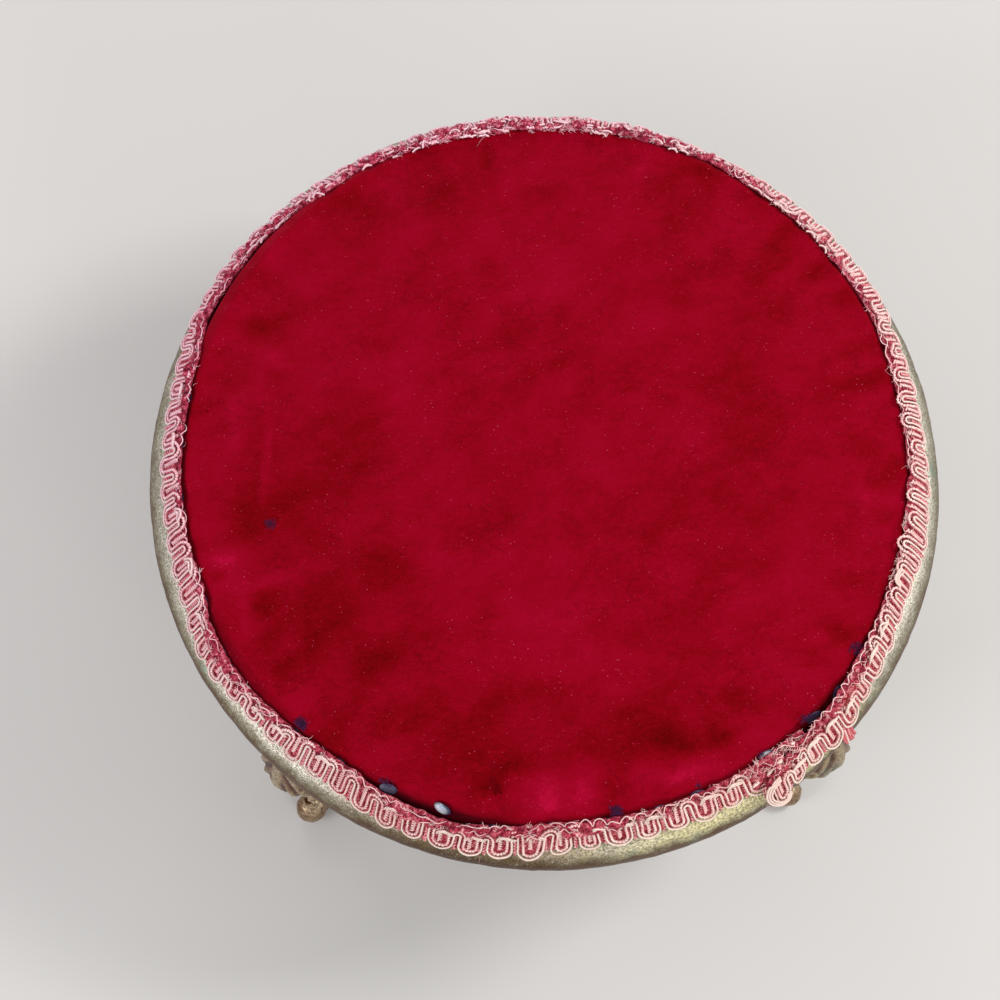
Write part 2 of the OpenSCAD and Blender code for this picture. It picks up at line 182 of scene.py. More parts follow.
class Shell:
    """Points and faces gathered for one mesh, with one UV pair a point."""

    def __init__(self):
        self.points, self.uvs, self.faces, self.count = [], [], [], 0

    def add(self, points, faces, uv=None):
        """Adds points, and faces that count from the first of them."""
        points = np.asarray(points, float).reshape(-1, 3)
        self.points.append(points)
        self.uvs.append(np.zeros((len(points), 2)) if uv is None else np.asarray(uv).reshape(-1, 2))
        self.faces += [np.asarray(f) + self.count for f in faces]
        self.count += len(points)

    def loft(self, rings, uv, fans=False):
        """A closed skin over a row of closed rings. Each end is one face, or a fan of triangles."""
        n, m = rings.shape[:2]
        end = np.array([[0, i + 1, i] for i in range(1, m - 1)]) if fans else np.arange(m)[None]
        self.add(rings, [grid(n, m, close_cols=True), end, end[:, ::-1] + (n - 1) * m], uv)

    def disc(self, spokes, first_z, last_z, uv=None):
        """A closed skin over spokes set round the axis, whose ends meet the axis at two heights."""
        n, m = spokes.shape[:2]
        here = np.arange(n) * m
        beyond = np.roll(here, -1)
        hub = np.full(n, n * m)
        fans = [np.stack([hub, beyond, here], -1), np.stack([hub + 1, here + m - 1, beyond + m - 1], -1)]
        if uv is not None:
            uv = np.concatenate([uv.reshape(-1, 2), [[0.5, 0], [0.5, 0]]])
        self.add(np.concatenate([spokes.reshape(-1, 3), [[0, 0, first_z], [0, 0, last_z]]]),
                 [grid(n, m, close_rows=True), *fans], uv)

    def tube(self, path, radius, sides, ref):
        """A closed tube along a path. The UV holds the length in mm and the share of a turn."""
        path = np.asarray(path, float)
        t = unit(np.gradient(path, axis=0))
        side = unit(np.cross(t, ref))
        up = np.cross(side, t)
        a = np.linspace(0, 2 * np.pi, sides, endpoint=False)
        ring = side[:, None] * np.cos(a)[None, :, None] + up[:, None] * np.sin(a)[None, :, None]
        rings = path[:, None] + np.broadcast_to(radius, len(path))[:, None, None] * ring
        uv = np.stack(np.broadcast_arrays(lengths(path)[:, None], np.abs(a / np.pi - 1)[None]), -1)
        self.loft(rings, uv, fans=True)

    def mesh(self, name):
        """A smooth mesh of all that was added, in metres."""
        points = np.concatenate(self.points)
        loops = np.concatenate([f.ravel() for f in self.faces])
        counts = np.concatenate([np.full(len(f), f.shape[1]) for f in self.faces])
        mesh = bpy.data.meshes.new(name)
        mesh.vertices.add(len(points))
        mesh.vertices.foreach_set("co", (points * MM).ravel())
        mesh.loops.add(len(loops))
        mesh.loops.foreach_set("vertex_index", loops)
        mesh.polygons.add(len(counts))
        mesh.polygons.foreach_set("loop_start", np.concatenate([[0], np.cumsum(counts)[:-1]]))
        mesh.polygons.foreach_set("use_smooth", np.ones(len(counts), bool))
        mesh.uv_layers.new(name="thread").data.foreach_set("uv", np.concatenate(self.uvs)[loops].ravel())
        mesh.update(calc_edges=True)
        return mesh

    def piece(self, name, finish, slot, nodes=(), sharp=None):
        """The object, facing outwards, on the stool's body, in place of the given CAD nodes."""
        mesh = self.mesh(name)
        bm = bmesh.new()
        bm.from_mesh(mesh)
        bmesh.ops.recalc_face_normals(bm, faces=bm.faces)
        bm.to_mesh(mesh)
        bm.free()
        if sharp:
            mesh.set_sharp_from_angle(angle=math.radians(sharp))
        mesh.materials.append(finish)
        obj = link(name, mesh)
        if nodes:
            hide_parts(*nodes)
        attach(obj, "root")
        return obj


# Materials

class Finish:
    """A node material whose patterns are placed in the stool's own millimetres."""

    def __init__(self, name, roughness=0.5, metallic=0.0, specular=0.5):
        self.material = bpy.data.materials.new(name)
        self.material.use_nodes = True
        self.tree = self.material.node_tree
        self.shader = self.tree.nodes["Principled BSDF"]
        self.fix(Roughness=roughness, Metallic=metallic, Specular_IOR_Level=specular)
        coords = self.tree.nodes.new("ShaderNodeTexCoord")
        self.place, self.normal = coords.outputs["Object"], coords.outputs["Normal"]

    def node(self, kind, values=None, links=None, **settings):
        n = self.tree.nodes.new("ShaderNode" + kind)
        for key, value in settings.items():
            setattr(n, key, value)
        for key, value in (values or {}).items():
            n.inputs[key].default_value = value
        for key, socket in (links or {}).items():
            self.tree.links.new(socket, n.inputs[key])
        return n

    def set(self, **links):
        """Links a value to each named socket of the shader."""
        for key, socket in links.items():
            self.tree.links.new(socket, self.shader.inputs[key.replace("_", " ")])

    def fix(self, **values):
        """Gives sockets of the shader a value that is the same all over."""
        for key, value in values.items():
            self.shader.inputs[key.replace("_", " ")].default_value = value

    def split(self, vector):
        """A vector's three parts."""
        parts = self.node("SeparateXYZ", links={"Vector": vector}).outputs
        return parts["X"], parts["Y"], parts["Z"]

    def moved(self, scale=(1, 1, 1), turn=(0, 0, 0)):
        """Places stretched and turned, for patterns with a grain."""
        return self.node("Mapping", {"Scale": scale, "Rotation": turn}, {"Vector": self.place}).outputs[0]

    def noise(self, size, detail=3, rough=0.55, vector=None, distortion=0.0):
        n = self.node("TexNoise", {"Scale": 1 / (size * MM), "Detail": detail, "Roughness": rough,
                                   "Distortion": distortion}, {"Vector": vector or self.place})
        return n.outputs["Fac"]

    def cells(self, size, feature="F1", vector=None, jitter=1.0):
        n = self.node("TexVoronoi", {"Scale": 1 / (size * MM), "Randomness": jitter},
                      {"Vector": vector or self.place}, feature=feature)
        return n.outputs["Distance"]

    def thread(self):
        """The UV: on a cord its length in mm, and the share of a turn round it."""
        return self.split(self.node("UVMap", uv_map="thread").outputs[0])[:2]

    def ramp(self, fac, *stops):
        """A colour ramp. Each stop is a place and a colour, or a place and a grey."""
        n = self.node("ValToRGB", links={"Fac": fac})
        band = n.color_ramp
        while len(band.elements) < len(stops):
            band.elements.new(0.5)
        for element, (at, colour) in zip(band.elements, stops):
            element.position = at
            element.color = (*colour, 1) if hasattr(colour, "__len__") else (colour, colour, colour, 1)
        return n.outputs["Color"]

    def maths(self, operation, *values):
        n = self.node("Math", operation=operation)
        for i, value in enumerate(values):
            if isinstance(value, (int, float)):
                n.inputs[i].default_value = value
            else:
                self.tree.links.new(value, n.inputs[i])
        return n.outputs[0]

    def add(self, a, b):
        return self.maths("ADD", a, b)

    def less(self, a, b):
        return self.maths("SUBTRACT", a, b)

    def mul(self, a, b):
        return self.maths("MULTIPLY", a, b)

    def mix(self, fac, a, b, blend="MIX"):
        n = self.node("Mix", data_type="RGBA", blend_type=blend)
        for i, value in ((0, fac), (6, a), (7, b)):
            if isinstance(value, bpy.types.NodeSocket):
                self.tree.links.new(value, n.inputs[i])
            else:
                n.inputs[i].default_value = (*value, 1) if hasattr(value, "__len__") else value
        return n.outputs[2]

    def times(self, a, b, fac=1.0):
        return self.mix(fac, a, b, "MULTIPLY")

    def bump(self, height, depth, strength=1.0, after=None):
        """depth is the height of the relief in mm."""
        links = {"Height": height}
        if after:
            links["Normal"] = after
        return self.node("Bump", {"Distance": depth * MM, "Strength": strength}, links).outputs[0]


def velvet_finish():
    f = Finish("velvet", roughness=0.95, specular=0.01)
    nap, edge = f.thread()
    streaks = f.noise(3.0, 5, 0.65, f.moved((0.6, 1.0, 1.0), (0, 0, -0.45)), 1.2)
    pile = f.noise(0.6, 3, 0.7)
    wisps = f.mix(0.5, f.ramp(streaks, (0.3, 0.0), (0.7, 1.0)), f.ramp(pile, (0.32, 0.0), (0.68, 1.0)))
    nap = f.add(nap, f.mul(f.less(wisps, 0.5), 0.42))
    shade = f.ramp(nap, (0.0, (0.085, 0.0003, 0.001)), (0.25, (0.17, 0.0005, 0.003)),
                   (0.5, (0.245, 0.0008, 0.0088)), (0.75, (0.285, 0.0012, 0.0155)),
                   (1.0, (0.4, 0.003, 0.033)))
    # Painted shade: the UV's Y, high down the bevel under the braid, turns the velvet near black
    shade = f.mix(f.ramp(edge, (0.0, 0.0), (1.0, 1.0)), shade, (0.012, 0.0004, 0.002))
    hairs = f.ramp(f.noise(0.5, 2, 0.6, f.moved((0.25, 1.0, 1.0), (0, 0, -0.5))), (0.66, 0.0), (0.78, 0.5))
    patches = f.ramp(f.noise(18, 4, 0.6), (0.45, 0.15), (0.62, 1.0))
    shade = f.mix(f.times(hairs, patches), shade, (0.55, 0.03, 0.1))
    # Painted shade: thin dark lines in worn patches, where creases in the velvet are shaded
    fold = f.maths("ABSOLUTE", f.less(f.noise(13, 4, 0.62, distortion=1.6), 0.5))
    worn = f.ramp(f.noise(30, 3, 0.6), (0.42, 0.0), (0.62, 1.0))
    painted_crease_shade = f.times(f.ramp(fold, (0.0, 0.42), (0.022, 0.0)), worn)
    shade = f.mix(painted_crease_shade, shade, (0.1, 0.0005, 0.004))
    dust = f.ramp(f.cells(1.9), (0.05, 0.8), (0.1, 0.0))
    sparse = f.ramp(f.noise(12, 3), (0.46, 0.0), (0.66, 0.9))
    shade = f.mix(f.times(dust, sparse), shade, (0.75, 0.12, 0.28))
    f.set(Base_Color=shade)
    f.fix(Sheen_Weight=0.35, Sheen_Roughness=0.45, Sheen_Tint=(1.0, 0.06, 0.12, 1))
    height = f.bump(pile, 0.12, 0.7)
    f.set(Normal=f.bump(streaks, 0.5, 0.5, height))
    return f.material


def painted_light_tint(f):
    """Painted light: a tint by place stands in for coloured light on the braid, mauve at the back and left,
    cream at the right.
    """
    x, y, _ = f.split(f.place)
    share = f.add(f.mul(f.less(f.mul(y, 0.8), f.mul(x, 0.6)), 4.0), 0.5)
    return f.ramp(share, (0.0, (1.0, 1.0, 0.93)), (0.5, (1.0, 0.96, 0.97)), (1.0, (1.0, 0.84, 1.0)))


def cord_finish(name, light, dark, pitch, soil=(0.35, 0.2, 0.14)):
    """A cord wound with fine thread: slanting turns with painted shade in the hollow between them, painted
    shade along the cord's sides, and some soil.
    """
    f = Finish(name, roughness=0.75, specular=0.25)
    along, turn = f.thread()
    phase = f.add(f.mul(along, 2 * math.pi / pitch), f.mul(turn, 2.2))
    wound = f.maths("MULTIPLY_ADD", f.maths("SINE", phase), 0.5, 0.5)
    shade = f.mix(f.ramp(wound, (0.05, 0.75), (0.6, 0.0)), light, dark)
    # Painted shade: the cord darkens along its two sides, away from its top and underside
    side = f.maths("ABSOLUTE", f.less(turn, 0.5))
    shade = f.mix(f.ramp(side, (0.22, 0.0), (0.42, 0.8)), shade, tuple(0.75 * c for c in dark))
    worn = f.ramp(f.noise(3.2, 4, 0.7), (0.42, 0.0), (0.72, 0.55))
    shade = f.mix(worn, shade, tuple(0.55 * a + 0.45 * b for a, b in zip(dark, light)))
    grime = f.ramp(f.noise(17, 3), (0.5, 0.0), (0.75, 0.35))
    f.set(Base_Color=f.times(f.mix(grime, shade, soil), painted_light_tint(f)))
    fine = f.bump(f.noise(0.18, 2), 0.05, 0.6)
    f.set(Normal=f.bump(wound, 0.12, 0.9, fine))
    f.fix(Sheen_Weight=0.25, Sheen_Tint=(1.0, 0.75, 0.7, 1))
    return f.material


def ground_finish():
    """The braid's woven ground: crimson and pink threads across, knotted by fine ones along it."""
    f = Finish("braid_ground", roughness=0.85, specular=0.15)
    along, across = f.thread()
    skin = f.ramp(f.add(f.mul(across, 0.1), f.mul(f.noise(4, 3), 0.3)), (0.42, 0.85), (0.62, 0.0))
    wobble = f.mul(f.noise(2.4, 3), 7.0)
    teeth = f.maths("SINE", f.add(f.mul(across, 2 * math.pi / 1.25), wobble))
    warp = f.maths("SINE", f.add(f.mul(along, 2 * math.pi / 1.1), wobble))
    weave = f.maths("MULTIPLY_ADD", f.mul(teeth, warp), 0.5, 0.5)
    tangle = f.mix(0.62, weave, f.ramp(f.noise(1.5, 4, 0.7, distortion=0.8), (0.34, 0.0), (0.66, 1.0)))
    shade = f.ramp(tangle, (0.16, (0.08, 0.002, 0.012)), (0.34, (0.42, 0.02, 0.055)),
                   (0.56, (0.72, 0.11, 0.16)), (0.76, (1.0, 0.5, 0.52)), (0.92, (1.0, 0.8, 0.76)))
    faded = f.ramp(f.noise(3.5, 4, 0.65), (0.5, 0.0), (0.68, 0.7))
    shade = f.mix(faded, shade, (0.62, 0.12, 0.17))
    bare = f.ramp(f.noise(1.5, 4, 0.65), (0.36, (0.07, 0.001, 0.01)), (0.48, (0.28, 0.012, 0.04)),
                  (0.58, (0.5, 0.06, 0.11)), (0.7, (0.95, 0.5, 0.54)))
    f.set(Base_Color=f.times(f.mix(skin, shade, bare), painted_light_tint(f)))
    f.set(Normal=f.bump(tangle, 0.4, 0.9))
    return f.material


def brass_finish(name, light, middle, dark, gold, speck, grain=1.0, drawn=False):
    """Cast brass under an old skin.
    Where drawn is set, for the rim, the UV runs round and across it in mm, and the pattern is drawn
    out along it; there the colour goes from brown on faces turned down, as painted shade and painted
    reflection, to pale on faces turned up, as painted highlight. On the legs the UV's X tells a crest
    from a hollow: pale worn crests and brown hollows, and a little painted light on faces turned up."""
    f = Finish(name, metallic=0.8, roughness=0.45)
    along, turn = f.thread()
    up = f.split(f.normal)[2]
    where = f.place
    # On the legs the crest share, a little paler on faces turned up: painted light
    height = f.add(along, f.mul(up, 0.1))
    if drawn:
        flat = f.node("CombineXYZ", links={"X": along, "Y": turn}).outputs[0]
        where = f.node("Mapping", {"Scale": (0.0008, 0.001, 0.001)}, {"Vector": flat}).outputs[0]
        # On the rim the shade follows which way a face turns: painted shade and reflection below, painted
        # highlight above
        height = f.add(f.mul(up, 0.5), 0.5)
    cloudy = f.noise(6 * grain, 5, 0.7, where, 0.4)
    fine = f.noise(0.8 * grain, 4, 0.7, where)
    grit = f.noise(0.5 * grain, 3, 0.7)
    height = f.add(height, f.mul(f.less(cloudy, 0.5), 0.4 if drawn else 0.5))
    steps = (0.66, 0.76, 0.86, 0.94) if drawn else (0.38, 0.52, 0.68, 0.8)
    half = tuple(0.5 * (a + b) for a, b in zip(middle, light))
    shade = f.ramp(height, *zip(steps, (dark, middle, half, light)))
    worn = tuple(0.3 * c for c in middle)
    shade = f.mix(f.ramp(fine, (0.36, 0.7), (0.52, 0.0)), shade, worn)
    shade = f.mix(f.ramp(grit, (0.34, 0.75), (0.47, 0.0)), shade, worn)

    def zone(centre, reach):
        apart = f.node("VectorMath", {1: centre}, {0: f.place}, operation="DISTANCE").outputs["Value"]
        apart = f.add(f.maths("DIVIDE", apart, reach), f.mul(f.noise(9, 3), 0.5))
        return f.ramp(apart, (0.5, 1.0), (1.0, 0.0))

    # The rim is browner over its front. Right of it, faces turned up take a yellow gold: partly the metal's
    # tone, partly painted highlight
    shade = f.times(shade, (0.62, 0.48, 0.36), zone((-0.03, -0.132, 0.13), 0.075))
    gold_tone_and_highlight = f.times(zone((0.06, -0.118, 0.13), 0.09), f.ramp(height, (0.72, 0.0), (0.84, 0.9)))
    dull = tuple(0.36 * c for c in gold)
    shade = f.mix(gold_tone_and_highlight, shade, f.mix(f.ramp(fine, (0.4, 1.0), (0.56, 0.0)), gold, dull))
    specks = f.ramp(f.noise(0.9 * grain, 3, 0.6, where), (0.56, 0.0), (0.64, 1.0))
    crowd = f.ramp(f.noise(5 * grain, 3, 0.6), (0.4, 0.0), (0.6, 1.0))
    above = f.ramp(height, (0.6, 0.05), (0.9, 0.6))
    mask = f.times(f.times(specks, crowd), above)
    shade = f.mix(mask, shade, speck)
    verdigris = f.ramp(f.noise(15, 4, 0.6), (0.62, 0.0), (0.72, 0.45))
    f.set(Base_Color=f.mix(verdigris, shade, (0.25, 0.36, 0.28)))
    f.set(Roughness=f.ramp(fine, (0.3, 0.55), (0.7, 0.3)))
    f.set(Metallic=f.ramp(mask, (0.0, 0.8), (1.0, 0.25)))
    pits = f.bump(f.noise(0.7 * grain, 4, 0.65), 0.2, 1.0)
    f.set(Normal=f.bump(specks, 0.08, 0.8, pits))
    return f.material


def steel_finish(name, base, bright, rim=0.0):
    """Blued or dull metal with rubbed crests and a little rust. The UV's X grows towards a head's rim,
    and its Y is how dark a head is made, as tarnish and painted shade: below 0 its lit side grows instead,
    as a painted glint. rim is how dark the heads' rims and one side of them are made, as painted shade."""
    f = Finish(name, metallic=0.9 - 0.75 * rim, roughness=0.3)
    rub = f.noise(1.6, 3, 0.6)
    shade = f.ramp(rub, (0.3, base), (0.5, bright))
    rust = f.ramp(f.noise(2.4, 4, 0.65), (0.64, 0.0), (0.76, 0.6))
    shade = f.mix(rust, shade, (0.16, 0.07, 0.03))
    share, tarnish_and_painted_light = f.thread()
    # Painted shade round each head's rim
    shade = f.mix(f.ramp(share, (0.68, 0.0), (0.97, rim)), shade, (0.02, 0.02, 0.045))
    # Painted light: a head is lit on the side towards -X and shaded on the other; a negative Y lights more of
    # it, as a painted glint
    if rim:
        x, y, _ = f.split(f.normal)
        side = f.less(f.less(f.mul(y, 0.2), x), f.mul(tarnish_and_painted_light, 0.7))
        shade = f.mix(f.ramp(side, (-0.05, 0.9), (0.42, 0.0)), shade, (0.03, 0.04, 0.1))
    tarnish_and_painted_light = f.maths("MAXIMUM", tarnish_and_painted_light, 0.0)
    f.set(Base_Color=f.mix(tarnish_and_painted_light, shade, (0.035, 0.02, 0.06)))
    f.set(Roughness=f.add(f.ramp(rub, (0.3, 0.4), (0.7, 0.2)), f.mul(tarnish_and_painted_light, 0.3)))
    f.set(Normal=f.bump(f.noise(0.4, 3), 0.04, 0.6))
    return f.material


def pine_finish():
    f = Finish("pine", roughness=0.7, specular=0.2)
    wave = {"Scale": 42.0, "Distortion": 3.5, "Detail": 3.0, "Detail Scale": 0.6}
    lines = f.node("TexWave", wave, {"Vector": f.moved((0.22, 1.0, 1.0))}, bands_direction="Y")
    grain = lines.outputs["Fac"]
    shade = f.ramp(grain, (0.2, (0.52, 0.34, 0.18)), (0.6, (0.64, 0.46, 0.27)), (0.95, (0.4, 0.22, 0.1)))
    fibre = f.noise(1.2, 3, 0.6, f.moved((0.05, 1.0, 1.0)))
    f.set(Base_Color=f.mix(f.ramp(fibre, (0.4, 0.0), (0.7, 0.35)), shade, (0.34, 0.2, 0.1)))
    f.set(Normal=f.bump(fibre, 0.1, 0.6))
    return f.material


def weave_finish(name, light, dark, pitch, roughness=0.85):
    """Plain weave: threads over and under each other along X and Y."""
    f = Finish(name, roughness=roughness, specular=0.2)
    x, y, _ = f.split(f.place)
    wave = 2 * math.pi / (pitch * MM)
    over = f.maths("SINE", f.mul(x, wave))
    under = f.maths("SINE", f.mul(y, wave))
    weave = f.maths("MULTIPLY_ADD", f.mul(over, under), 0.5, 0.5)
    slub = f.ramp(f.noise(2.2, 3, 0.6, f.moved((0.15, 1.0, 1.0))), (0.45, 0.0), (0.7, 0.4))
    f.set(Base_Color=f.mix(slub, f.ramp(weave, (0.1, dark), (0.8, light)), light))
    f.set(Normal=f.bump(weave, 0.15, 0.8))
    return f.material


def fibre_finish(name, light, dark, size):
    """Loose fibre: tangled streaks."""
    f = Finish(name, roughness=0.9, specular=0.15)
    tangle = f.noise(size, 5, 0.75, f.moved((1.0, 0.3, 1.0)), 2.5)
    f.set(Base_Color=f.ramp(tangle, (0.35, dark), (0.65, light)))
    f.set(Normal=f.bump(tangle, 0.6, 0.9))
    return f.material


CREAM = cord_finish("cream_cord", (1.0, 0.92, 0.87), (0.9, 0.52, 0.5), 0.5, (0.8, 0.42, 0.38))
PINK_PITCH = 1.15
PINK = cord_finish("pink_cord", (1.0, 0.82, 0.8), (0.82, 0.32, 0.35), PINK_PITCH, (0.75, 0.25, 0.28))
CRIMSON = cord_finish("crimson_cord", (0.9, 0.22, 0.27), (0.36, 0.015, 0.05), 0.7, (0.4, 0.03, 0.08))
HAIRS = cord_finish("loose_hairs", (1.0, 0.78, 0.78), (0.9, 0.46, 0.5), 0.8, (0.8, 0.3, 0.36))
GROUND = ground_finish()
VELVET = velvet_finish()
RIM_BRASS = brass_finish("rim_brass", (0.64, 0.6, 0.5), (0.28, 0.24, 0.155), (0.15, 0.075, 0.04),
                         (0.8, 0.72, 0.4), (0.85, 0.85, 0.74), 1.0, True)
LEG_BRASS = brass_finish("leg_brass", (0.5, 0.38, 0.245), (0.26, 0.14, 0.08), (0.11, 0.038, 0.022),
                         (0.5, 0.4, 0.19), (0.75, 0.74, 0.56), 1.2)
TACK_STEEL = steel_finish("tack_steel", (0.36, 0.5, 0.85), (0.86, 0.96, 1.0), 0.9)
SCREW_STEEL = steel_finish("screw_steel", (0.26, 0.25, 0.23), (0.5, 0.48, 0.44))
SCREW_BRASS = steel_finish("screw_brass", (0.33, 0.26, 0.13), (0.62, 0.5, 0.27))
CAMBRIC = weave_finish("cambric", (0.03, 0.03, 0.032), (0.008, 0.008, 0.009), 0.6, 0.6)
CALICO = weave_finish("calico", (0.78, 0.72, 0.6), (0.6, 0.53, 0.41), 0.7)
WADDING = fibre_finish("wadding", (0.86, 0.83, 0.76), (0.7, 0.66, 0.58), 2.5)
HAIR = fibre_finish("hair", (0.17, 0.12, 0.09), (0.04, 0.03, 0.025), 1.6)
LINT = fibre_finish("lint", (0.13, 0.035, 0.14), (0.02, 0.004, 0.035), 0.8)


# CAD nodes

KEPT = {
    "rim_ring": RIM_BRASS, "seat_board": pine_finish(), "hair_stuffing": HAIR, "cotton_wadding": WADDING,
    "calico_cover": CALICO, "velvet_cover": VELVET, "gimp_braid": GROUND, "cover_tacks": TACK_STEEL,
    "rim_screws": SCREW_BRASS, "bottom_cloth": CAMBRIC, "bottom_tacks": TACK_STEEL}
for name in LEG_NAMES:
    KEPT["leg_" + name] = LEG_BRASS
    KEPT["screws_" + name] = SCREW_STEEL
for name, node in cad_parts.items():
    node.data.materials.clear()
    node.data.materials.append(KEPT[name])


# Rim

# Dents in the moulding: azimuth, degrees round the section from its top, size and depth in mm
NICKS = ((-9.6, 150, 1.1, 0.55), (-2.5, 152, 0.9, 0.5), (-84.4, 95, 1.3, 0.5), (-36, 60, 1.6, 0.35),
         (17, 140, 1.2, 0.4), (63, 80, 1.5, 0.4), (104, 70, 1.2, 0.45), (139, 100, 1.6, 0.4),
         (-128, 85, 1.8, 0.45), (-167, 110, 1.3, 0.5), (171, 75, 1.5, 0.35), (-61, 120, 1.0, 0.5))
# How much flatter the rim is at the back, in mm
REAR_FLAT = 0.9


def moulding(radius, degrees):
    """The round section at a radius, and degrees outwards from its top."""
    a = np.radians(degrees)
    return np.stack([TUBE_CR + radius * np.sin(a), TUBE_CZ + radius * np.cos(a)], -1)


def level(inner, outer, count, z):
    """A level line of the section between two radii."""
    r = np.linspace(inner, outer, count)
    return np.stack([r, np.full(count, z)], -1)


def build_rim():
    """One closed skin: moulding, lip and flange, with a cast surface and old dents."""
    azimuths = np.linspace(-180, 180, 960, endpoint=False)
    lip_out, lip_in = (math.degrees(math.asin(-LIP_W / radius)) for radius in (TUBE_R, TUBE_R - WALL))
    outer = np.linspace(lip_out, 180, 44)
    flange_r = TUBE_CR - FLANGE_W
    section = np.concatenate([
        moulding(TUBE_R, outer),
        level(TUBE_CR - 4, flange_r + 0.3, 7, UNDER_Z),
        [[flange_r, UNDER_Z + 0.3], [flange_r, UNDER_Z + WALL - 0.3]],
        level(flange_r + 0.3, TUBE_CR, 5, UNDER_Z + WALL),
        moulding(TUBE_R - WALL, np.linspace(172, lip_in, 12))])
    turn = np.concatenate([outer, np.full(len(section) - len(outer), 200.0)])
    normal = np.stack([np.sin(np.radians(turn)), np.cos(np.radians(turn))], -1)
    points = lathe(section, azimuths)
    relief = 0.1 * noise(points, 2.2, 3) + 0.12 * noise(points, 6, 4) + 0.22 * noise(points, 30, 5)
    for az, at, size, depth in NICKS:
        round_it = ((azimuths[:, None] - az + 180) % 360 - 180) * DEG * RIM_R
        apart = np.hypot(round_it, (turn[None] - at) * DEG * TUBE_R)
        relief = relief - depth * np.exp(-(apart / size) ** 2)
    relief = relief * ease((turn - 20) / 25) * ease((181 - turn) / 12)
    points = points + np.minimum(relief, 0.3)[..., None] * lathe(normal, azimuths)
    flat = REAR_FLAT * bump_at(np.abs(azimuths), 180, 55)[:, None] * ease((section[:, 0] - 118) / 10)[None]
    points = points - flat[..., None] * spin(1.0, 0.0, azimuths)[:, None]
    shell = Shell()
    uv = np.broadcast_arrays(azimuths[:, None] * DEG * RIM_R, turn[None] * DEG * TUBE_R)
    shell.add(points, [grid(len(azimuths), len(section), True, True)], np.stack(uv, -1))
    shell.piece("rim", RIM_BRASS, "rim_brass", ["rim_ring"], 50)


build_rim()


# Velvet pad

def dome(r, edge):
    """Height of a dome at a radius, from 1 on the axis to 0 at its edge."""
    return np.where(r < edge, 1 - np.clip(r / edge, 0, 1) ** CROWN, 0)


def crown_height(r, off):
    """Height of the padding's top at a radius, off above it."""
    return TOP_Z + HAIR_H * dome(r, HAIR_R) + WADDING_H * dome(r, WADDING_R) + off


def cover_profile(off, top_radii, corner_steps, bevel_steps):
    """The cover's profile from the middle outwards and down the bevel, off above the board's line."""
    crown = np.stack([top_radii, crown_height(top_radii, off)], -1)
    a = np.radians(BEVEL_TILT * np.linspace(0, 1, corner_steps))
    corner = np.stack([TOP_R + off * np.sin(a), TOP_Z + off * np.cos(a)], -1)
    along = np.linspace(0, BEVEL_LEN, bevel_steps + 1)[1:, None]
    return np.concatenate([crown, corner, np.array([TOP_R, TOP_Z]) + along * DOWN + off * OUT])


def profile_normals(profile):
    """Directions away from a profile."""
    t = unit(np.gradient(profile, axis=0))
    return np.stack([-t[:, 1], t[:, 0]], -1)


# The pad's simulation: the mesh's step and the longest move kept, in mm, and its frames
SIM_VOXEL = 4.0
SIM_MOST = 5.0
SIM_FRAMES = 20


def simulate_pad():
    """Blows the cover up a little between its tacks. Returns rest points and their moves, in mm."""
    radii = np.concatenate([[0.5], np.arange(6, TOP_R - 2, 5.0)])
    underside = np.stack([np.array([100.0, 60.0, 20.0, 0.5]), np.full(4, TOP_Z - BEVEL_H + 0.5)], -1)
    profile = np.concatenate([cover_profile(COVER_T - 0.7, radii, 4, 4), underside])
    shell = Shell()
    azimuths = np.linspace(-180, 180, 4 * TACKS, endpoint=False)
    shell.disc(lathe(profile, azimuths), profile[0, 1], profile[-1, 1])
    pad = link("pad_trial", shell.mesh("pad_trial"))
    remesh = pad.modifiers.new("remesh", "REMESH")
    remesh.mode = "VOXEL"
    remesh.voxel_size = SIM_VOXEL * MM
    blocks, rest = applied(pad)
    pad.modifiers.clear()
    pad.data = blocks
    r = np.hypot(rest[:, 0], rest[:, 1])
    az = np.degrees(np.arctan2(rest[:, 0], -rest[:, 1]))
    hold = np.exp(-((off_tack(az, r, TACKS, TACK_AZ) / 3.2) ** 2 + ((r - TOP_R - 0.6) / 2.6) ** 2))
    hold = np.maximum(hold, ease((TOP_Z - 2.5 - rest[:, 2]) / 2.0))
    pins = pad.vertex_groups.new(name="pins")
    for i, weight in enumerate(hold):
        if weight > 0.02:
            pins.add([i], float(weight), "REPLACE")
    cloth = pad.modifiers.new("cloth", "CLOTH")
    cloth.settings.use_pressure = True
    cloth.settings.uniform_pressure_force = 4.0
    cloth.settings.vertex_group_mass = "pins"
    cloth.settings.effector_weights.gravity = 0
    cloth.settings.quality = 5
    cloth.settings.tension_stiffness = 40
    cloth.settings.compression_stiffness = 40
    cloth.settings.bending_stiffness = 2.0
    cloth.point_cache.frame_start = 1
    cloth.point_cache.frame_end = SIM_FRAMES
    scene = bpy.context.scene
    for i in range(1, SIM_FRAMES + 1):
        scene.frame_set(i)
    shift = applied(pad)[1] - rest
    scene.frame_set(1)
    bpy.data.objects.remove(pad)
    length = np.linalg.norm(shift, axis=1, keepdims=True)
    print("pad simulation: points", len(rest), "most", round(float(length.max()), 2),
          "mean", round(float(length.mean()), 2))
    return rest, shift * np.minimum(1, SIM_MOST / np.maximum(length, 1e-6))


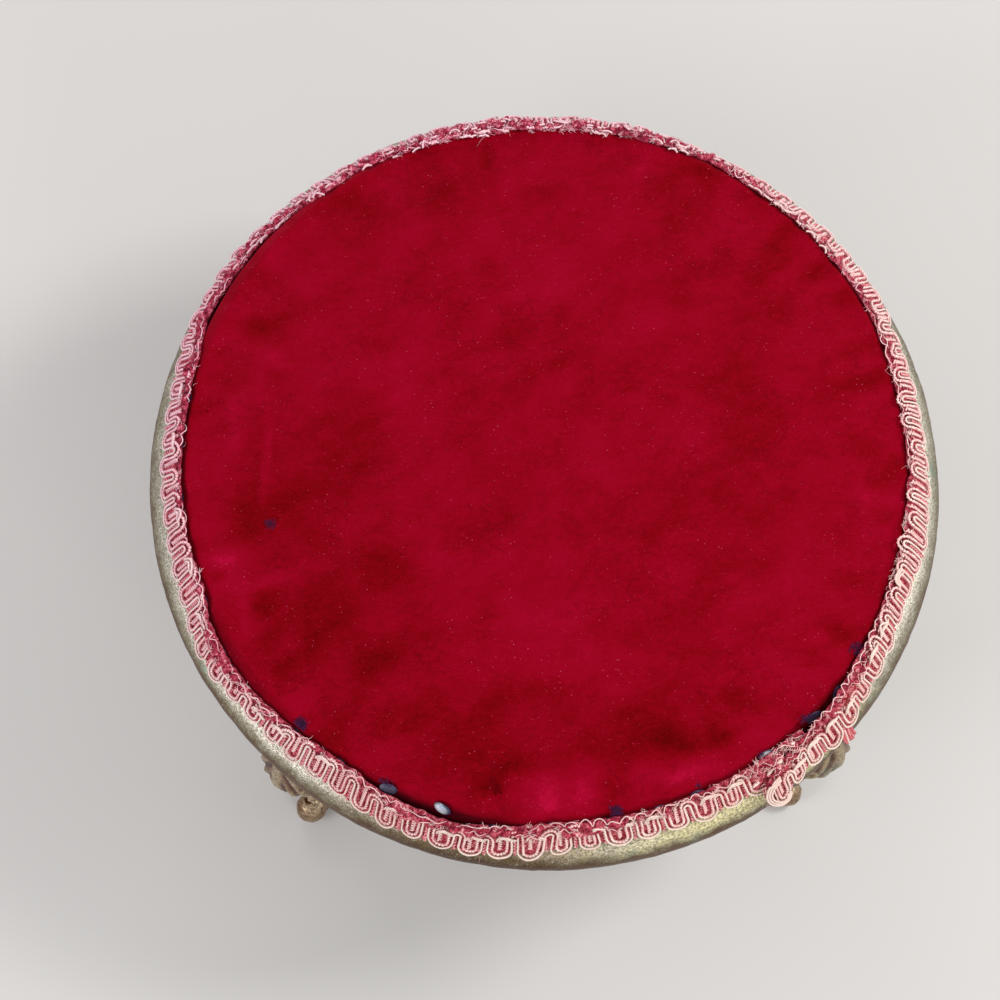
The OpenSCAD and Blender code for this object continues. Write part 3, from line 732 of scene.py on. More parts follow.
def sample_moves(rest, shift, points):
    """The simulated move at each point, from its nearest simulated neighbours."""
    tree = KDTree(len(rest))
    for i, p in enumerate(rest):
        tree.insert(p, i)
    tree.balance()
    out = np.zeros((len(points), 3))
    for k, p in enumerate(points):
        found = tree.find_n(p, 6)
        near = np.array([i for _, i, _ in found])
        w = 1 / (np.array([d for _, _, d in found]) + 0.8) ** 2
        out[k] = (shift[near] * w[:, None]).sum(0) / w.sum()
    return out


def simulated_lift(points, normals, every=4):
    """How far the simulation lifts the velvet, found at every fourth spoke."""
    rest, shift = simulate_pad()
    coarse = points[::every]
    got = sample_moves(rest, shift, coarse.reshape(-1, 3)).reshape(coarse.shape)
    got = (got * normals[::every]).sum(-1)
    around = np.concatenate([got, got[:1]])
    where = np.arange(len(points)) / every
    low = np.floor(where).astype(int)
    t = (where - low)[:, None]
    lift = around[low] * (1 - t) + around[low + 1] * t
    edge_mean = lift.mean(0, keepdims=True)
    return np.clip(0.35 * edge_mean.clip(-2, 2) + (lift - edge_mean), -0.8, 1.1)


# Places where the nap lies down and looks darker, or stands up and looks paler:
# x, y, reach along x and along y, and how far the shade changes
NAP = ((-24, -110, 4, 4, -0.45), (-19, -105, 9, 6, -0.22), (58, -86, 9, 7, -0.34), (12, -99, 16, 5, -0.2),
       (41, -97, 12, 4, -0.28), (-8, -103, 14, 5, -0.2), (25, -94, 14, 6, -0.16), (-30, -97, 11, 7, -0.2),
       (-55, -68, 8, 7, -0.34), (-57, -38, 10, 6, -0.24), (-93, -50, 7, 8, -0.26), (-92, -64, 6, 5, -0.24),
       (-86, -13, 11, 10, -0.2), (-94, 5, 5, 11, -0.2), (-74, -54, 9, 8, -0.16), (-52, -88, 14, 8, -0.16),
       (99, 54, 5, 3, -0.2), (40, -108, 15, 4, 0.42), (-2, -116, 14, 3, 0.2), (-102, 27, 4, 9, 0.2),
       (-106, -33, 3, 8, 0.22), (-66, -30, 7, 12, 0.1), (86, 0, 34, 66, -0.09), (0, 60, 40, 30, 0.04),
       (104, -20, 4, 14, 0.18), (-40, 92, 22, 8, -0.08), (20, 100, 30, 7, 0.06), (-72, -45, 34, 38, -0.09),
       (8, -92, 70, 16, -0.09), (-95, 45, 10, 26, -0.1), (-60, 10, 20, 12, -0.06), (35, 25, 12, 30, -0.04),
       (-90, 40, 5, 3.5, 0.3), (-95, 31, 3, 6, 0.26), (-87, 36, 7, 2.2, 0.2), (-93, -39.5, 9, 2.4, 0.34),
       (-101.5, -46, 2.4, 8, 0.3), (-110, -30, 5, 3, 0.22), (-101, -13, 6, 7, -0.26),
       (-111.5, -36, 3.5, 4, -0.26), (-98, 51, 8, 4, -0.24), (-104, 30, 3, 5, -0.24),
       (-104, 14, 3, 8, 0.2), (-78, -33, 6, 3, 0.2))


def worn_nap(points, az, r, inside):
    """How the nap stands, from 0 to 1, and the dents and ridges in mm that go with it."""
    x, y = points[..., 0], points[..., 1]
    wander_x, wander_y = (3.5 * noise(points, 11, seed) for seed in (25, 26))
    nap = 0.5 + 0.1 * noise(points, 22, 27) + 0.08 * noise(points, 8, 28)
    turned = np.stack([x * 0.9 + y * 0.43, (y * 0.9 - x * 0.43) * 1.9, points[..., 2]], -1)
    nap = nap + 0.11 * noise(turned, 16, 29) + 0.07 * noise(turned, 7, 30)
    dents = 0
    for at_x, at_y, wide, deep, change in NAP:
        spot = change * np.exp(-((x + wander_x - at_x) / wide) ** 2 - ((y + wander_y - at_y) / deep) ** 2)
        nap = nap + (0.82 if change < -0.12 else 1.0) * spot
        dents = dents + 0.9 * spot
    crease = bump_at(x, -93.7 + 1.2 * np.sin(y / 9), 1.4) * bump_at(y, 5, 13)
    rays = noise(np.stack([az * 1.3, r * 0.12, 0 * r], -1), 4.0, 33)
    nap = nap + 0.34 * crease + 0.2 * rays * bump_at(inside, 5, 12) * ease((inside + 1) / 2)
    return np.clip(nap, 0, 1), dents + 0.15 * crease


def build_velvet():
    segments, rings, corner, down = TACKS * 16, 64, 9, 9
    radii = 1.2 + (TOP_R - 1.9) * (1 - (1 - np.linspace(0, 1, rings)) ** 1.25)
    outer = cover_profile(COVER_T, radii, corner, down)
    azimuths = -180 + TACK_AZ + 360 / segments * np.arange(segments)
    points = lathe(outer, azimuths)
    normals = lathe(profile_normals(outer), azimuths)
    r, az = np.broadcast_arrays(outer[:, 0][None], azimuths[:, None])
    apart = off_tack(az, r, TACKS, TACK_AZ)
    along = np.concatenate([np.zeros(rings + corner), np.linspace(0, BEVEL_LEN, down + 1)[1:]])[None]
    inside = np.where(along > 0, -along, np.maximum(TOP_R - r, 0))
    lift = simulated_lift(points, normals)
    lift = lift - 0.75 * np.exp(-(apart / 2.4) ** 2 - ((inside + 0.4) / 2.6) ** 2)
    pull = bump_at(inside, 4.0, 5.5) * np.cos(apart * 2.0) * np.exp(-(apart / 4.0) ** 2)
    lift = lift + 0.16 * pull * (0.6 + 0.6 * noise(points, 30, 21))
    uneven = 0.3 * noise(points, 42, 22) + 0.16 * noise(points, 14, 23) + 0.07 * noise(points, 5, 24)
    nap, dents = worn_nap(points, az, r, inside)
    lift = lift + uneven * ease((inside + 2) / 6) + dents

    # The edge is fuller at the back and in three more places, and ends flat under the braid
    full_front = bump_at(az, -5, 8) + bump_at(az, -52, 15)
    fuller = 1.15 * ease((np.abs(az) - 98) / 18) + 0.8 * full_front + 0.8 * bump_at(az, -127, 14)
    lift = lift + fuller * bump_at(inside, -2.5, 4.0)
    lift = np.clip(lift, -0.85, 2.0) * (1 - ease((along - 5.5) / 2.0))
    points = points + lift[..., None] * normals
    lining = cover_profile(CALICO_T + 0.06, np.linspace(1.2, TOP_R - 0.7, 9), 3, 3)[::-1]
    inner = lathe(lining, azimuths)
    # Painted shade: the velvet turns near black down the bevel, most at the front, where the braid's edge
    # shades the crevice
    painted_crevice_shade = ease((along - 0.6 + 0.9 * noise(points, 6, 34)) / 2.2)
    painted_crevice_shade = painted_crevice_shade * (0.06 + 0.94 * bump_at(az, 0, 80)) * (1 - 0.5 * full_front)
    shades = np.concatenate([np.stack([nap, painted_crevice_shade], -1), np.zeros(inner.shape[:2] + (2,))], axis=1)
    shell = Shell()
    spokes = np.concatenate([points, inner], axis=1)
    shell.disc(spokes, points[:, 0, 2].mean() + 0.01, inner[:, -1, 2].mean(), shades)
    pad = shell.piece("velvet_pad", VELVET, "velvet", ["velvet_cover"])


build_velvet()


# Tacks

def add_tack(shell, base, axis, head_r, head_t, shank_r, length, tarnish_and_painted_light=0.5):
    """A hammered domed head with a rolled edge on a pointed shank, as one closed skin."""
    profile = np.array([
        (0.02, head_t), (0.35 * head_r, 0.96 * head_t), (0.62 * head_r, 0.82 * head_t),
        (0.84 * head_r, 0.56 * head_t), (0.96 * head_r, 0.28 * head_t), (head_r, 0.12 * head_t),
        (0.97 * head_r, 0.0), (shank_r, 0.0), (shank_r, -0.8 * length), (0.02, -length)])
    domed = 6
    a = np.linspace(0, 2 * np.pi, 28, endpoint=False)[:, None]
    axis = unit(np.asarray(axis, float))
    side = unit(np.cross(axis, [0.3, 0.2, 1.0]))
    ring = side * np.cos(a) + np.cross(axis, side) * np.sin(a)
    points = base + profile[:, :1, None] * ring + profile[:, 1:, None] * axis
    points[:domed] += 0.06 * noise(points[:domed], 1.1, 31)[..., None] * axis
    share = np.repeat(profile[:, :1] / head_r, len(a), axis=1)
    share[domed:] = 1
    shell.loft(points, np.stack([share, np.full(share.shape, tarnish_and_painted_light)], -1), fans=True)


# Tacks that the braid leaves bare: azimuth, how far the head tips upright and swings sideways in
# degrees, how far it sits down the bevel in mm, how far it was driven to one side in degrees, and
# how dark it is made, as tarnish and painted shade, or below 0 how far one side is lit as a painted glint
BARE_TACKS = ((-19.2, 17.0, -14.0, 2.2, 0.3, 0.0), (-27.6, 14.0, 10.0, 2.5, 0.0, 0.45),
              (31.0, 14.0, -15.0, 2.3, 1.6, -0.9), (39.4, 12.0, -10.0, 3.2, 2.7, 0.9),
              (22.7, 12.0, -10.0, 2.9, -2.3, 0.3))


def build_tacks():
    rng = np.random.default_rng(41)
    shell = Shell()
    for az in TACK_AZ + 360 / TACKS * np.arange(TACKS):
        # Hidden tacks are made fully dark: tarnish and painted shade under the braid's edge
        tip, swing, shift, dull = rng.normal(0, 2.0), 0.0, 0.08 * rng.normal(0, 1), 1.0
        edge = course_at(az if az < UNDER_AZ else az - 360)[0]
        along = min(max(TACK_DOWN + 2.2, edge + 4.4), 8.4)
        off = COVER_T - (0.6 if 100 < az % 360 < 260 else 0.0)
        for known, *row in BARE_TACKS:
            if abs((az - known + 180) % 360 - 180) < 1.5:
                tip, swing, along, shift, dull = row
                off = COVER_T + 0.1
        base = np.array([TOP_R, TOP_Z]) + along * DOWN + off * OUT
        lean = math.radians(90 - BEVEL_TILT - tip)
        axis = spin(math.cos(lean), math.sin(lean), az + swing)
        add_tack(shell, spin(*base, az + shift), axis, TACK_R, TACK_T, 0.7, 10.0, dull)
    shell.piece("cover_tack_heads", TACK_STEEL, "tack_steel", ["cover_tacks"], 40)


# Gimp braid

# Where the braid lies: azimuth along the strip from its under end, and the distances in mm, measured
# down from the pad's edge, of its upper edge, of the scrolls' tops and of its lower edge
COURSE = np.array([
    (-334, 7, 9, 19), (-330.8, 6.4, 8, 19.4), (-328, 4.5, 7, 19.6), (-325, 2.5, 6, 15.4),
    (-322, 0.8, 2.8, 15.8), (-318, 0, 2.2, 17.4), (-314, -0.3, 4, 14.4), (-310, -0.4, 4, 15.5),
    (-305, -1.4, 0, 14), (-300, -2.2, -2.2, 11.5), (-292, -2.5, -2.6, 9.8), (-286, -2.7, -2.8, 14),
    (-278, -2.7, -3, 12), (-270, -2.8, -2.8, 10), (-262, -2.8, -3, 10.5), (-255, -2.4, -2.5, 11),
    (-250, -1.5, -1, 11.5), (-246, -0.6, 0.5, 17), (-240, -1.5, -0.5, 17), (-233, -1, 0, 16),
    (-230, 0, 1, 15.5), (-226, -1.5, -0.5, 15), (-220, -1.2, 0, 13), (-214, -1.4, 0, 12.5),
    (-211.5, 1.8, 2.6, 11.5), (-209, -1.2, 0.2, 11.5), (-200, -2.1, -1.1, 12.3), (-195, -3.1, -2.4, 12.3),
    (-190, -3.1, -2.5, 12.2), (-185, -3.9, -3.3, 12.1), (-180, -3.5, -2.9, 12.2), (-175, -4.1, -3.5, 12.1),
    (-170, -3.2, -2.5, 12.2), (-165, -3.4, -2.7, 12.2), (-160, -2.2, -1.4, 12.4), (-153.5, -1.2, -0.5, 13),
    (-150.8, 1.6, 2.2, 13), (-148, -1.0, 0.4, 13.5), (-145, -0.6, 0.8, 14), (-142, 0.3, 3, 15),
    (-139, 3.5, 5.5, 16), (-130, 6.5, 8, 17.5), (-125, 5.5, 7.5, 18), (-122, 4.5, 7, 18),
    (-118, 7.2, 9, 18), (-114, 3.5, 6.5, 17.5), (-110, 0, 3.5, 15.5), (-104, -1.8, 0, 12.5),
    (-98, -1.8, -0.3, 12), (-90, -1.3, -1.5, 11.5), (-85, -1.8, -2, 11), (-80, -0.9, -1.4, 11.5),
    (-75, -1.6, -2.2, 12), (-70, -1.6, -2, 12.5), (-67, 2.2, 3.5, 15.5), (-61, 3.4, 5.5, 16.5),
    (-55, 3.4, 5, 14.5), (-50, 2, 3.6, 13.3), (-44, 0.8, 1, 13.3), (-38, -0.4, -0.6, 13.3),
    (-33, 0.4, 0.8, 15), (-27, 2.6, 4.5, 17), (-22, 4, 6, 17.6), (-15, 4.2, 6.3, 18.2),
    (-12, 3, 5.8, 17.8), (-8, 1.8, 3.4, 16.5), (-4, 0, 1.8, 15), (0, -0.3, 0.8, 12.6),
    (5, -0.4, 0.6, 12.2), (15, -0.4, 0, 12.4), (25, -0.3, 0.3, 13.2), (39, -0.3, 2.5, 13),
    (44, -0.3, 2.5, 13)])
# Where bands of the cream cord sweep over a scroll's top towards the right
BANDS = (-103, -96, -84, -75, -66, -57, -50, -44, -37, -27, -16.5, -12.5, -9, -4, 4, 8, 12.5, 22, 27,
         -326.5, -322, -317.5, -312, -305, -298, -290, -200, -186, -170, -158, -147, -121)
# The cord that wraps the over end: mm along from that end, and down
WRAP = ((7.8, 8.0), (4.6, 7.6), (1.8, 9.0), (0.4, 11.6), (0.2, 14.2), (1.2, 16.8), (3.2, 18.9), (5.8, 19.8),
        (8.0, 19.0), (9.0, 17.0))
# Pale knots in the crumpled under end: azimuth, down, slope, half length in mm
KNOTS = ((31.4, 4.4, 0.7, 1.3), (33.3, 2.4, 0.6, 0.9), (29.0, 7.2, 0.5, 1.5), (36.5, 0.8, 0.2, 0.8))
# The strip's two ends
UNDER_AZ = 39.0
OVER_AZ = -330.8
# The radius at which distances along the braid are measured
BRAID_R = 129.0
# The scrolls' places: a bottom loop at this azimuth, and the degrees between loops on either side of it
LOOP_AZ = -18.2
LOOP_STEP = 4.1
LOOP_STEP_FRONT = 4.33
FIRST, LAST = -13, 77
PITCH = DEG * BRAID_R * LOOP_STEP


def loop_azimuth(k):
    """Azimuth of scroll k, counted along the strip from the one at LOOP_AZ."""
    k = np.asarray(k, float)
    return LOOP_AZ - np.where(k > 0, LOOP_STEP, LOOP_STEP_FRONT) * k + 0.85 * np.clip(k - 74, 0, None)


def loop_phase(az):
    """Place along the strip counted in scrolls, whole at the bottom loops."""
    k = np.arange(FIRST - 1, LAST + 3)
    return np.interp(-np.asarray(az, float), -loop_azimuth(k), k)


def course(az):
    """Upper edge, scrolls' tops and lower edge at an azimuth along the strip."""
    def at(column, shift):
        return np.interp(np.asarray(az) + shift, COURSE[:, 0], COURSE[:, column])

    return [0.25 * at(i, -1.6) + 0.5 * at(i, 0) + 0.25 * at(i, 1.6) for i in (1, 2, 3)]


def course_at(az):
    """The same at one azimuth, as plain numbers."""
    return [float(v) for v in course(az)]


# The outer face of the braid's ground: mm down, radius and height. It runs down over the pad's side,
# then over the moulding.
DRAPE = np.array([
    (-5.0, 118.3, 149.1), (-2.5, 120.8, 149.0), (0.0, 123.1, 148.1), (3.0, 124.9, 145.6),
    (6.0, 126.6, 143.0), (9.0, 128.2, 140.6), (11.5, 129.6, 138.7), (13.5, 130.8, 137.1),
    (15.4, 132.0, 135.7), (17.2, 133.2, 134.3), (19.0, 134.3, 132.8), (21.0, 135.3, 131.0),
    (23.0, 136.0, 129.2), (27.0, 136.3, 125.2)])


def drape(az, down, up=0.0):
    """Points on the braid's face. az and down place them, and up lifts them off it, in mm."""
    az, down, up = np.broadcast_arrays(np.asarray(az, float), down, up)
    free = ease((-az - 318) / 12)
    over = 1.9 * ease((-az - 309) / 6) + 1.6 * free

    def at(d):
        r = np.interp(d, DRAPE[:, 0], DRAPE[:, 1])
        z = np.interp(d, DRAPE[:, 0], DRAPE[:, 2])
        beyond = np.maximum(d - 12.0, 0)
        straight_r, straight_z = 129.9 + 0.62 * beyond, 138.3 - 0.785 * beyond
        hang = np.where(d > 12.0, free, 0)
        return np.stack([r + hang * (straight_r - r), z + hang * (straight_z - z)], -1)

    here = at(down)
    t = unit(at(down + 0.4) - at(down - 0.4))
    n = np.stack([-t[..., 1], t[..., 0]], -1)
    n = np.where(n[..., :1] < 0, -n, n)
    place = here + (up + over)[..., None] * n
    return spin(place[..., 0], place[..., 1], az)


def mm_to_deg(mm):
    """A distance along the braid as an angle."""
    return mm / (DEG * BRAID_R)


def scroll(offset, near, far, top, bottom):
    """One scroll's path from its bottom loop over a top loop to the next, along and down in mm.

    It runs beside a middle line that meanders: near and far are the two bottom loops' radii on that
    line, and offset is the cord's distance from it.
    """
    middle = (near + PITCH - far) / 2
    high = (PITCH - far - near) / 2
    high_r = max(high - offset, 0.5)
    y_high = top + high + 1.0
    a = np.linspace(0, np.pi / 2, 9)
    b = np.linspace(-np.pi / 2, np.pi / 2, 17)

    def rise(radius):
        reach, centre = radius + offset, bottom - radius - 1.8
        low = np.stack([reach * np.sin(a), centre + reach * np.cos(a)], -1)
        straight = np.stack([np.full(9, reach), np.linspace(centre, y_high, 11)[1:-1]], -1)
        return np.concatenate([low, straight])

    upper = np.stack([middle + high_r * np.sin(b), y_high - high_r * np.cos(b)], -1)
    back = [PITCH, 0] + np.array([-1, 1]) * rise(far)[::-1]
    return np.concatenate([rise(near), upper, back[:-1]])


def scroll_slant(az):
    """How far the scrolls' tops lean back along the strip, in mm."""
    return humps(az, ((-240, 26, 2.6), (-316, 12, 1.2), (-60, 14, 0.5), (8, 18, 1.2), (-285, 10, -0.7)))


def swelling(az):
    """Where the braid rises and sinks at the back, from -1 to 1."""
    return noise(spin(125.0, 0.0, az), 9, 57) * bump_at(az, -180, 60)


def cord_path(offset, seed, wander, lift):
    """A cord's whole path: azimuth, distance down and lift. Both cords share one set of scrolls."""
    rng = np.random.default_rng(seed)
    shared = np.random.default_rng(77)
    count = LAST - FIRST + 1
    radii = PITCH / 4 * (1 + 0.09 * shared.normal(0, 1, count).clip(-2, 2))
    dips = 0.45 * shared.normal(0, 1, count)
    rows = []
    for i, k in enumerate(range(FIRST, LAST)):
        tilt, sag, raise_by = shared.normal(0, 1, 3)
        start, stop = loop_azimuth(k), loop_azimuth(k + 1)
        middle = (start + stop) / 2
        _, tops, bottom = course_at(middle)
        u, v = scroll(offset, radii[i], radii[i + 1], tops + 0.6 * sag, bottom).T
        share = u / PITCH
        _, t2, b2 = course(start + (stop - start) * share)
        b2 = b2 + mix(dips[i], dips[i + 1], ease(share))
        tall = bottom - tops
        v = v + (b2 - bottom) * ease((v - tops) / tall) + (t2 - tops) * ease((bottom - v) / tall)
        high = np.clip((bottom - v) / tall, 0, 1)
        lean = scroll_slant(middle) + 0.7 * tilt
        u = u + lean * high * np.sin(np.pi * np.clip(share, 0, 1)) ** 0.5
        up = 0.3 * raise_by * high + 0.3 * np.sin(high * np.pi)
        rows.append((start + (stop - start) * u / PITCH, v, up))
    az, down, up = (np.concatenate(x) for x in zip(*rows))
    inside = (az < UNDER_AZ - 9.5) & (loop_phase(az) < LAST - 0.56)
    az, down, up = az[inside], down[inside], up[inside]
    smooth = np.convolve(rng.normal(0, 1, len(az) + 8), np.ones(9) / 3, "valid")
    up = up + 0.9 * swelling(az)
    return az + mm_to_deg(wander * smooth), down + wander * np.roll(smooth, 31), up + lift


def finer(path, step):
    """The path again with points at equal distances, and those distances."""
    az, down, up = path
    length = lengths(np.stack([az * DEG * BRAID_R, down, up], -1))
    s = np.arange(0, length[-1], step)
    return (*(np.interp(s, length, v) for v in path), s)


def smoothed(values, reach):
    """Each value averaged with its neighbours."""
    count = 2 * reach + 1
    return np.convolve(np.pad(values, reach, "edge"), np.ones(count) / count, "valid")


def face_normal(az, down):
    """Directions away from the braid's face."""
    return unit(drape(az, down, 0.5) - drape(az, down, -0.5))


def lay(shell, az, down, lift, radius, sides):
    """Adds a thread that lies on the braid."""
    shell.tube(drape(az, down, lift), radius, sides, face_normal(az, down))


# Stretches where the ground's loose skin reaches further down the scrolls, or less far: azimuth,
# width in degrees, mm
SKIN_REACH = ((-60, 9, 1.8), (-22, 15, 1.8), (8, 14, 1.6), (-130, 14, 1.0), (-316, 8, 1.2), (-178, 38, 3.5),
              (-80, 8, -1.2), (-275, 26, -2.0))


def ground_lift(az, down):
    """Height of the braid's ground over its face, in mm: lumps, and a loose skin over the scrolls'
    tops."""
    upper, tops, _ = course(az)
    flat = spin(110.0 + down, 0 * down, az)
    ring = spin(120.0, 0 * down, az)
    lumps = 0.36 * noise(flat, 1.5, 53) + 0.24 * noise(flat, 3.4, 54)
    loose = ease((az - UNDER_AZ + 11) / 3)
    reach = 0.6 + 2.6 * noise(ring, 5.0, 58) + 0.8 * noise(flat, 1.6, 59) + humps(az, SKIN_REACH)
    skin = np.maximum(ease((tops + reach - down) / 0.9), loose)
    over = 1.35 * skin * ease((down - upper - 0.2) / 1.2) * ease((down - tops + 1.2) / 1.5)
    bud = np.abs(np.sin(np.pi * (2 * loop_phase(az) + 0.3 * noise(ring, 9, 70)))) ** 0.5
    over = over + skin * (1.5 * bud - 0.8) * bump_at(down, upper + 1.7, 1.7) * (1 - loose)
    fold = np.abs(noise(flat, 3.0, 55)) * 2 - 0.3
    crumple = (0.9 + loose) * (fold + 0.5 * noise(flat, 1.7, 56)) * skin
    return lumps + over + crumple + 0.8 * swelling(az)


def build_ground():
    """A lumpy ribbon with a ragged upper edge and rounded over end."""
    azimuths = np.arange(UNDER_AZ, OVER_AZ, -0.2)
    upper, _, bottom = course(azimuths)
    v = np.linspace(0, 1, 32)
    flat = spin(120.0, 0.0, azimuths)
    ragged = 0.6 * noise(flat, 2.1, 51) + 0.6 * noise(flat, 5.5, 52)
    lower = bottom - 0.9 - 1.1 * np.abs(np.sin(np.pi * loop_phase(azimuths))) ** 2
    rounded = np.sqrt((1 - np.clip((azimuths - OVER_AZ) / 2.2, 0, 1)) ** 3)
    middle = (upper + lower) / 2
    upper_edge = mix(upper + 0.4 + ragged, middle, 0.8 * rounded)
    lower = mix(lower, middle, 0.5 * rounded)
    down = upper_edge[:, None] * (1 - v) + lower[:, None] * v
    az = np.broadcast_to(azimuths[:, None], down.shape)
    thin = np.minimum(ease(v / 0.08), ease((1 - v) / 0.08))[None]
    face = drape(az, down, ground_lift(az, down) * thin - 0.25)
    hidden = drape(az[:, ::-3], down[:, ::-3], -1.05)
    ribbon = np.concatenate([face, hidden], axis=1)
    along = np.broadcast_to((-azimuths * DEG * BRAID_R)[:, None], ribbon.shape[:2])
    across = np.concatenate([down, down[:, ::-3]], axis=1) - upper[:, None]
    shell = Shell()
    shell.loft(ribbon, np.stack([along, across], -1))
    shell.piece("braid_ground", GROUND, "braid", ["gimp_braid"])


def add_bands(shell, rng):
    """Bands of cord that sweep over some of the scrolls' tops."""
    stops = [0, 0.18, 0.4, 0.65, 0.85, 1]
    share = np.linspace(0, 1, 22)
    for k in range(FIRST + 3, LAST - 1):
        wide, high, sag, turn = rng.uniform(0, 1, 4)
        foot = float(loop_azimuth(k))
        if foot > UNDER_AZ - 11 or min(abs(foot + 1.2 - known) for known in BANDS) > 2.05:
            continue
        tops = course_at(foot)[1]
        x = np.interp(share, stops, [-1.0, -0.9, -0.1, 1.6, 3.4, 4.6 + 0.8 * wide])
        d = tops + 0.8 * sag + np.interp(share, stops, [4.6, 3.2, 1.9 - high, 1.1, 1.5 + turn, 2.6 + turn])
        lift = np.interp(share, stops, [0.3, 0.9, 1.5, 1.7, 1.4, 0.4])
        x, d, lift = (smoothed(values, 3) for values in (x, d, lift))
        for apart in (-0.7, 0.0, 0.7) if foot < -290 else (-0.4, 0.4):
            normal = unit(np.stack([-np.gradient(d), np.gradient(x)], -1)) * apart
            lay(shell, foot + mm_to_deg(x + normal[:, 0]), d + normal[:, 1], lift - 0.2 * apart, 0.36, 7)


def add_wrap(shell):
    """The cord wound three times round the over end."""
    wrap = np.array(WRAP)
    t = np.linspace(0, len(wrap) - 1, 70)
    for inset in (0.0, 0.8, 1.6):
        x, d = (smoothed(np.interp(t, np.arange(len(wrap)), wrap[:, i]), 6) for i in (0, 1))
        inward = unit(np.stack([np.gradient(d), -np.gradient(x)], -1)) * inset
        x, d = x + inward[:, 0], d + inward[:, 1]
        lift = 0.9 + 0.35 * inset - 0.8 * np.abs(t / t[-1] * 2 - 1) ** 4
        lay(shell, OVER_AZ + mm_to_deg(x), d, lift, 0.42 - 0.03 * inset, 8)


def build_cream_cord():
    """The scrolls' outer cord, its bands and wrapped end, knots, and short ends at the back."""
    shell = Shell()
    az, down, up, s = finer(cord_path(1.25, 61, 0.05, 0.6), 0.45)
    lay(shell, az, down, up, 0.37 + 0.05 * np.sin(s / 5.0), 8)
    rng = np.random.default_rng(66)
    add_bands(shell, rng)
    add_wrap(shell)
    for a0, d0, turn, long in KNOTS:
        x = np.linspace(-long, long, 11)
        a, down = a0 + mm_to_deg(x), d0 - turn * x + 0.2 * np.sin(3 * x)
        round_it = np.sqrt(np.clip(1 - (x / long) ** 2, 0.02, 1))
        lay(shell, a, down, ground_lift(a, down).mean() + 0.25 * round_it, 0.65 * round_it, 8)
    for _ in range(110):
        foot, high, way, long, bend = rng.uniform(0, 1, 5)
        foot = -235 + 110 * foot
        x = np.linspace(-1, 1, 9) * (0.8 + 1.3 * long)
        slope = 6.0 * (way - 0.5) ** 3
        a = foot + mm_to_deg(x * np.sqrt(1 - slope ** 2))
        down = course_at(foot)[0] - 0.4 + 4.5 * high ** 2 + x * slope + 0.6 * (bend - 0.5) * x * x
        lay(shell, a, down, ground_lift(a, down).mean() + 0.3 - 0.12 * x * x, 0.34, 6)
    shell.piece("braid_cream_cord", CREAM, "braid")


def build_pink_cord():
    """The scrolls' inner cord, thick and thin by turns."""
    az, down, up, s = finer(cord_path(-0.25, 62, 0.1, 0.5), 0.27)
    turn = s * 2 * np.pi / PINK_PITCH
    shell = Shell()
    lay(shell, az, down, up + 0.18 * np.sin(turn), 0.42 + 0.14 * np.cos(turn), 7)
    shell.piece("braid_pink_cord", PINK, "braid")


def build_core_threads():
    """Crinkled threads in the scrolls' cores and between the scrolls, and a torn end of the under strip."""
    rng = np.random.default_rng(63)
    core, bundle = Shell(), Shell()
    for k in np.arange(FIRST, LAST, 0.5):
        middle = loop_azimuth(k)
        if not OVER_AZ + 1.5 < middle < UNDER_AZ - 10:
            continue
        _, tops, bottom = course_at(middle)
        low = k == round(k)
        start = tops + (1.4 if low else 3.6) + rng.uniform(-0.5, 0.5)
        stop = bottom - (3.6 if low else 1.7) + rng.uniform(-0.3, 0.3)
        d = np.arange(start, stop, 0.16)
        turn = d * 2 * np.pi / (1.1 if low else 1.3)
        lean = 0.6 * scroll_slant(middle) * np.clip((bottom - d) / (bottom - tops), 0, 1)
        wave = (0.5 if low else 0.36) * np.sin(turn + rng.uniform(0, 6))
        lift = (0.42 if low else 0.25) + 0.2 * np.cos(turn)
        lay(core if low else bundle, middle - mm_to_deg(wave + lean), d, lift, 0.34 if low else 0.4, 6)
        if not low:
            wave = 0.45 * np.cos(d * 2 * np.pi / 1.5 + rng.uniform(0, 6))
            lay(core, middle - mm_to_deg(wave + lean), d, lift + 0.22, 0.19, 5)
    for i in range(16):
        a = rng.uniform(43.9, 46.0) + 0.14 * np.sin(np.linspace(0, rng.uniform(3, 8), 14))
        d = np.linspace(12, rng.uniform(19.8, 22.0), 14)
        lay(core if i % 4 == 0 else bundle, a, d, 0.2 + rng.uniform(0, 1.2), 0.44, 6)
    core.piece("braid_core_threads", PINK, "braid")
    bundle.piece("braid_ground_bundles", CRIMSON, "braid")


